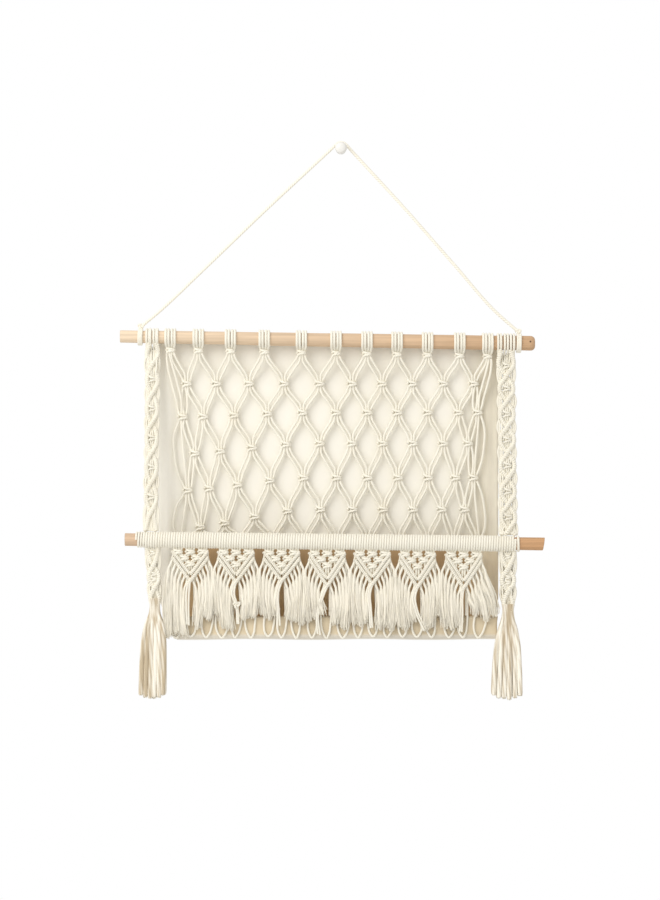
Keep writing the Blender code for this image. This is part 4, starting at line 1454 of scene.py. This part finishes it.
thick_cord_finish = cotton("thick_cotton_cord", TASSEL_LAY, TASSEL_LIGHT, TASSEL_SHADE, TASSEL_RIDGE,
                           TASSEL_SHADE_STREAKS, TASSEL_DEPTH, TASSEL_LEVEL)
for side, tail in TAILS.items():
    make_tail(side, tail)

# %% [markdown]
# ## The chevrons
# Twelve cords hang from the wound stick for each chevron. They are tied in three, two and one
# square knots, and then wrap two slanted bars on each side that meet at the tip. The seven are alike
# but not the same, so each has its own short list of measures: where its tip is, how far its fringe
# reaches, and how the two cords from its tip fall.

# %% Measures and cords of a chevron
CHEVRONS = (
    {"x": -181.5, "tip": -527.6, "out_left": 30.0, "out_right": 25.4,
     "fall": ((-2.6, -7.0), (-3.2, -26.0), (-2.6, -50.0))},
    {"x": -126.3, "tip": -528.8, "out_left": 25.4, "out_right": 25.4,
     "fall": ((-3.4, -11.0), (0.6, -24.0), (2.4, -46.0)), "knot": (0.8, -24.0)},
    {"x": -71.4, "tip": -527.6, "out_left": 25.4, "out_right": 25.4,
     "fall": ((-5.4, -12.0), (-4.4, -30.0), (-3.6, -52.0))},
    {"x": -16.6, "tip": -533.6, "out_left": 25.4, "out_right": 25.2,
     "fall": ((-7.6, -13.0), (-12.0, -34.0), (-10.2, -56.0))},
    {"x": 37.7, "tip": -531.2, "out_left": 25.2, "out_right": 25.2,
     "fall": ((-3.8, -8.0), (-3.0, -24.0), (-1.0, -50.0))},
    {"x": 92.0, "tip": -534.8, "out_left": 25.2, "out_right": 25.4,
     "fall": ((-4.0, -8.0), (-1.6, -24.0), (9.0, -47.0))},
    {"x": 147.6, "tip": -536.0, "out_left": 25.4, "out_right": 41.0, "inner": 14.0,
     "fall": ((-2.6, -8.0), (-3.0, -26.0), (-3.4, -48.0))},
)
CHEVRON_HALF = 22.5
CHEVRON_SIDE = 12.5
CHEVRON_Y = -51.6
CHEVRON_CORDS = 12
CHEVRON_PITCH = 3.75
CHEVRON_R = 1.42
BAR_UP = (3.6, 11.4)
BAR_REACH = 1.35
BAR_PITCH = 2.2
BAR_R = 1.15
CHEVRON_KNOTS = (((-15.0, 0), (0.0, 4), (15.0, 8)), ((-7.5, 2), (7.5, 6)), ((0.0, 4),))
KNOT_ROW = 7.4
CHEVRON_DROP = 10.45
BAR_OUTS = (21.5, 14.0, 7.0, 2.0, 0.0)
BAR_OVER = -1.9
BAR_UNDER = 0.6
RANK_OUT = 21.2
RANK_PITCH = 3.7


def edge_z(chevron, x):
    """The height of a chevron's lower edge at a distance from its middle."""
    top = rod_z(LOWER, chevron["x"]) - CHEVRON_DROP
    side = top - CHEVRON_SIDE
    return chevron["tip"] + (side - chevron["tip"]) * min(1.0, abs(x) / CHEVRON_HALF)


def chevron_bars(chevron):
    """Two bars along each arm; the right arm's lower bar runs on past the tip."""
    lines = []
    for up in BAR_UP:
        for side in (-1, 1):
            over = BAR_OVER if side == 1 else BAR_UNDER
            route = []
            for out in BAR_OUTS:
                z = edge_z(chevron, out) + up + (1.2 if out == 0.0 else 0.0)
                y = CHEVRON_Y - 1.4 + over * (1 - out / BAR_OUTS[0])
                route.append(Vector((chevron["x"] + side * out, y, z)))
            if side == 1 and up == BAR_UP[0]:
                tip = route[-1]
                route[-1] = tip - Vector((0.5, 0.0, 1.6))
                route.append(tip - Vector((4.0, -0.4, 6.0)))
            lines += rope(route, BAR_REACH, BAR_PITCH)
    return lines


def chevron_cord(chevron, cord):
    """One of the twelve cords, from the wound stick through its knots and behind both bars."""
    middle = chevron["x"]
    high = rod_z(LOWER, middle) - WRAP_REACH
    across = (cord - (CHEVRON_CORDS - 1) / 2) * CHEVRON_PITCH
    route = [Vector((middle + across, CHEVRON_Y, high + 2.0))]
    for row, knots in enumerate(CHEVRON_KNOTS):
        for x, first in knots:
            if first <= cord < first + 4:
                spot = Vector((middle + x, CHEVRON_Y, high - 5.0 - KNOT_ROW * row))
                route += knot_spots(cord - first, spot, 2.9, CHEVRON_R, 3.3)
    side = -1 if cord < CHEVRON_CORDS / 2 else 1
    rank = cord if side == -1 else CHEVRON_CORDS - 1 - cord
    out = RANK_OUT - rank * RANK_PITCH
    for up, lean in ((BAR_UP[1] + 1.0, -1.0), (BAR_UP[0], 0.0)):
        z = edge_z(chevron, out) + up
        route.append(Vector((middle + side * (out + lean), CHEVRON_Y + 1.2, z)))
    return route, side, rank, out


# %% [markdown]
# ## Combed locks
# Below the lower bar the cords hang free for a finger's width and are then brushed out into soft
# locks. Hair strands would look right in a render, but they leave no mesh behind. So a lock is a soft
# core that swells and thins out, with a few dozen thin tubes round it as loose hairs.

# %% The comb and the brushed locks
FRINGE_Z = -575.0
FRINGE_UNEVEN = (8.0, -3.0, 2.0, 11.0, -6.0, 0.0, 6.0, -1.0, 4.0, 12.0, -5.0)
COMB = ((1.8, -3.0), (3.8, -8.0), (4.6, -14.0))
LOCK_HAIRS = 30
LOCK_SPREAD = 4.6
LOCK_INSET = 3.4
LOCK_INNER = {-1: 7.0, 1: 8.6}
LOCK_APART = 1.1
LOCK_LOW = 9.0
LOCK_R = 1.6
HAIR_R = 0.48
HAIR_LOOSE = (0.42, 0.95, 1.1)


def comb_and_lock(chevron, number, route, side, rank, out):
    """Takes a cord on below the bars: a short comb cord that curves outwards, then a lock."""
    reach = (chevron["out_left"] if side == -1 else chevron["out_right"]) - LOCK_INSET
    inner = chevron.get("inner", LOCK_INNER[side]) if side == 1 else LOCK_INNER[side]
    apart = LOCK_APART if rank % 2 == 0 else -LOCK_APART
    end = reach - (reach - inner) * (rank // 2) / 2 + apart
    uneven = FRINGE_UNEVEN[(rank // 2 * 3 + number * 5 + side) % len(FRINGE_UNEVEN)]
    foot = FRINGE_Z + uneven + wander(1.2) - (LOCK_LOW if number == 1 and side == -1 else 0.0)
    start = edge_z(chevron, out)
    x = chevron["x"]
    wider = 1.2 if rank == 0 else 1.0
    comb = []
    for away, down in COMB:
        comb.append(Vector((x + side * (out + away * wider), CHEVRON_Y - 1.4, start + down)))
    last = out + COMB[-1][0]
    middle = (start + COMB[-1][1] + foot) / 2
    lock = [
        Vector((x + side * (last * 0.5 + end * 0.5 + 1.4) + wander(1.0), CHEVRON_Y - 3.2, middle)),
        Vector((x + side * end + wander(1.0), CHEVRON_Y - 2.4 + wander(0.6), foot)),
    ]
    return [*route, *comb], [comb[1], comb[2], *lock]


def lock_shape(route):
    """A combed lock: a soft core that swells and thins out, and loose hairs round it."""
    core = smooth(route, 3.4)
    widths = []
    for k in range(len(core)):
        down = k / (len(core) - 1)
        widths.append(0.75 + 0.45 * math.sin(math.pi * min(1.0, down * 1.04)) ** 0.6)
    hairs = []
    for number in range(LOCK_HAIRS):
        angle = wander(math.pi)
        out = Vector((math.cos(angle), math.sin(angle) * 0.5, 0.0)) * LOCK_SPREAD
        out *= chance.uniform(0.15, 1.0)
        hair = [route[0].copy()]
        for spot, loose in zip(route[1:], HAIR_LOOSE):
            hair.append(beside(spot + out * loose, wander(0.9), wander(0.3)))
        hair[-1].z += chance.uniform(-4.5, 4.0) + abs(out.x) * 0.7
        hairs.append(smooth(hair, 9.0, 2))
    return core, widths, hairs


# %% [markdown]
# ## Cords from the tip
# Two cords run on from where the bars meet and fall in front of the fringe, each chevron's in its own
# line. Their places are read off the photograph one by one. Under the second tip they are also tied
# once, which is the trefoil again.

# %% The cords that fall from the tip
FALL_R = 1.25
FALL_KNOT = 1.3
FALL_APART = 1.2


def fall_lines(chevron):
    """Two cords that run on from the tip, in front of the fringe."""
    lines = []
    tip = Vector((chevron["x"] - 0.6, CHEVRON_Y - 3.4, chevron["tip"] + 3.0))
    for apart in (-FALL_APART, FALL_APART):
        route = [beside(tip, apart * 0.6 + 2.0, 0.6, 3.0), beside(tip, apart * 0.8)]
        for x, z in chevron["fall"]:
            across = chevron["x"] + x + apart + wander(0.5)
            route.append(Vector((across, CHEVRON_Y - 3.6 + wander(0.5), chevron["tip"] + z)))
        route[-1].z += wander(2.0)
        lines.append(smooth(route, 2.6))
    if "knot" in chevron:
        across, down = chevron["knot"]
        middle = Vector((chevron["x"] + across, CHEVRON_Y - 4.2, chevron["tip"] + down))
        lines.append(trefoil(middle, FALL_KNOT))
    return lines


# %% [markdown]
# ## Loops at the hem
# Behind each fringe three cords come down, turn at the pocket's hem and go up again. They are drawn
# as one shape for all, and chance moves, widens and leans each a little, because twenty-one equal
# loops would look like machine lace.

# %% The loops down to the hem
LOOP_Y = -49.4
LOOP_R = 1.35
LOOP_MIDDLES = (-18.0, 0.0, 18.0)
LOOP_HALF_WIDTH = 6.2
LOOP_FOOT = -592.2
LOOP_TOP = -566.0
LOOP_SHAPE = ((-0.95, LOOP_TOP), (-1.0, -578.0), (-0.62, -587.6), (0.0, None), (0.62, -587.6),
              (1.0, -578.0), (0.95, LOOP_TOP))
LOOP_WITHIN = 21.0
LOOP_LEAN = 3.2


def loop_lines(chevron):
    """U-shaped cords behind the fringe that reach down to the pocket's hem."""
    lines = []
    for offset in LOOP_MIDDLES:
        middle = chevron["x"] + offset + wander(1.6)
        half = LOOP_HALF_WIDTH + wander(1.1)
        foot = LOOP_FOOT + wander(1.2)
        lean = wander(LOOP_LEAN)
        route = []
        for x, z in LOOP_SHAPE:
            z = foot if z is None else z
            across = middle + x * half + lean * share(foot, LOOP_TOP, z)
            route.append(Vector((across, LOOP_Y + wander(0.4), z)))
        for place, side in ((0, -1), (len(route), 1)):
            goal = offset + side * half * 0.6
            across = math.copysign(held(abs(goal) / LOOP_WITHIN) * LOOP_WITHIN, goal)
            route.insert(place, Vector((chevron["x"] + across, LOOP_Y, edge_z(chevron, across) + 3.0)))
        lines.append(smooth(route, 3.0))
    return lines


# %% Make the seven chevrons
def make_chevron(number, chevron):
    """A chevron and its fringe, as six pieces."""
    lines = []
    cores = []
    core_widths = []
    hairs = []
    for cord in range(CHEVRON_CORDS):
        route, side, rank, out = chevron_cord(chevron, cord)
        route, lock = comb_and_lock(chevron, number, route, side, rank, out)
        lines.append(smooth(route, 2.3, 2))
        core, widths, loose = lock_shape(lock)
        cores.append(core)
        core_widths.append(widths)
        hairs += loose
    node = f"chevron_{number}"
    cord_piece(node + "_bars", node, chevron_bars(chevron), BAR_R, 1)
    cord_piece(node + "_cords", node, lines, CHEVRON_R)
    cord_piece(node + "_falls", node, fall_lines(chevron), FALL_R)
    cord_piece(node + "_loops", node, loop_lines(chevron), LOOP_R)
    cord_piece(node + "_locks", node, cores, LOCK_R, 2, core_widths, fringe_finish)
    cord_piece(node + "_hairs", node, hairs, HAIR_R, 1, None, fringe_finish)


for number, chevron in enumerate(CHEVRONS, 1):
    make_chevron(number, chevron)

# %% [markdown]
# ## The studio
# The photograph has soft light from the upper left and a white background with no shadow. The world
# is white to the camera and a little dimmer as light, a large soft lamp stands at the upper left,
# and a pale floor lies well below the shelf. A larger lamp gives softer shadows, and its power is set
# so that the canvas comes out as bright as in the photograph.

# %% The light and the floor
FLOOR_Z = -1.02
WORLD_LIGHT = 0.785
KEY_POWER = 46.0
KEY_PLACE = Vector((-1.7, -2.1, 1.2))
KEY_SIZE = 2.0
KEY_TONE = (1.0, 0.985, 0.955)
SKY_TONE = (1.0, 0.985, 0.96, 1.0)
WHITE = (1.0, 1.0, 1.0, 1.0)
FLOOR_SIZE = 1.3
FLOOR_Y = -0.75

world = bpy.data.worlds.new("studio")
scene.world = world
world.use_nodes = True
sky = world.node_tree.nodes["Background"]
sky.inputs["Color"].default_value = SKY_TONE
sky.inputs["Strength"].default_value = WORLD_LIGHT
page = Wire(world.node_tree, sky.outputs[0])
white = page.node("Background", {}, {"Color": WHITE, "Strength": 1.0})
seen = page.node("LightPath", {}, {})
both = page.node("MixShader", {}, {0: seen, 1: page, 2: white})
both.into(world.node_tree.nodes["World Output"], "Surface")

lamp = bpy.data.lights.new("key", "AREA")
lamp.energy = KEY_POWER
lamp.size = KEY_SIZE
lamp.color = KEY_TONE
key = bpy.data.objects.new("key", lamp)
key.location = KEY_PLACE
aim = VIEW_MIDDLE * MM - KEY_PLACE
key.rotation_euler = aim.to_track_quat("-Z", "Y").to_euler()
scene.collection.objects.link(key)

bm = bmesh.new()
bmesh.ops.create_grid(bm, x_segments=1, y_segments=1, size=FLOOR_SIZE,
                      matrix=Matrix.Translation((0.0, FLOOR_Y, FLOOR_Z)))
floor_mesh = mesh_from(bm, "floor")
floor_finish, floor_shader, floor_place, _ = new_finish("pale_floor", {"Roughness": 0.8})
floor_place.noise(3.0).blend((0.82, 0.82, 0.81), (0.86, 0.86, 0.85)).into(floor_shader, "Base Color")
floor_mesh.materials.append(floor_finish)
floor = bpy.data.objects.new("floor", floor_mesh)
scene.collection.objects.link(floor)
scene.view_settings.view_transform = "Standard"
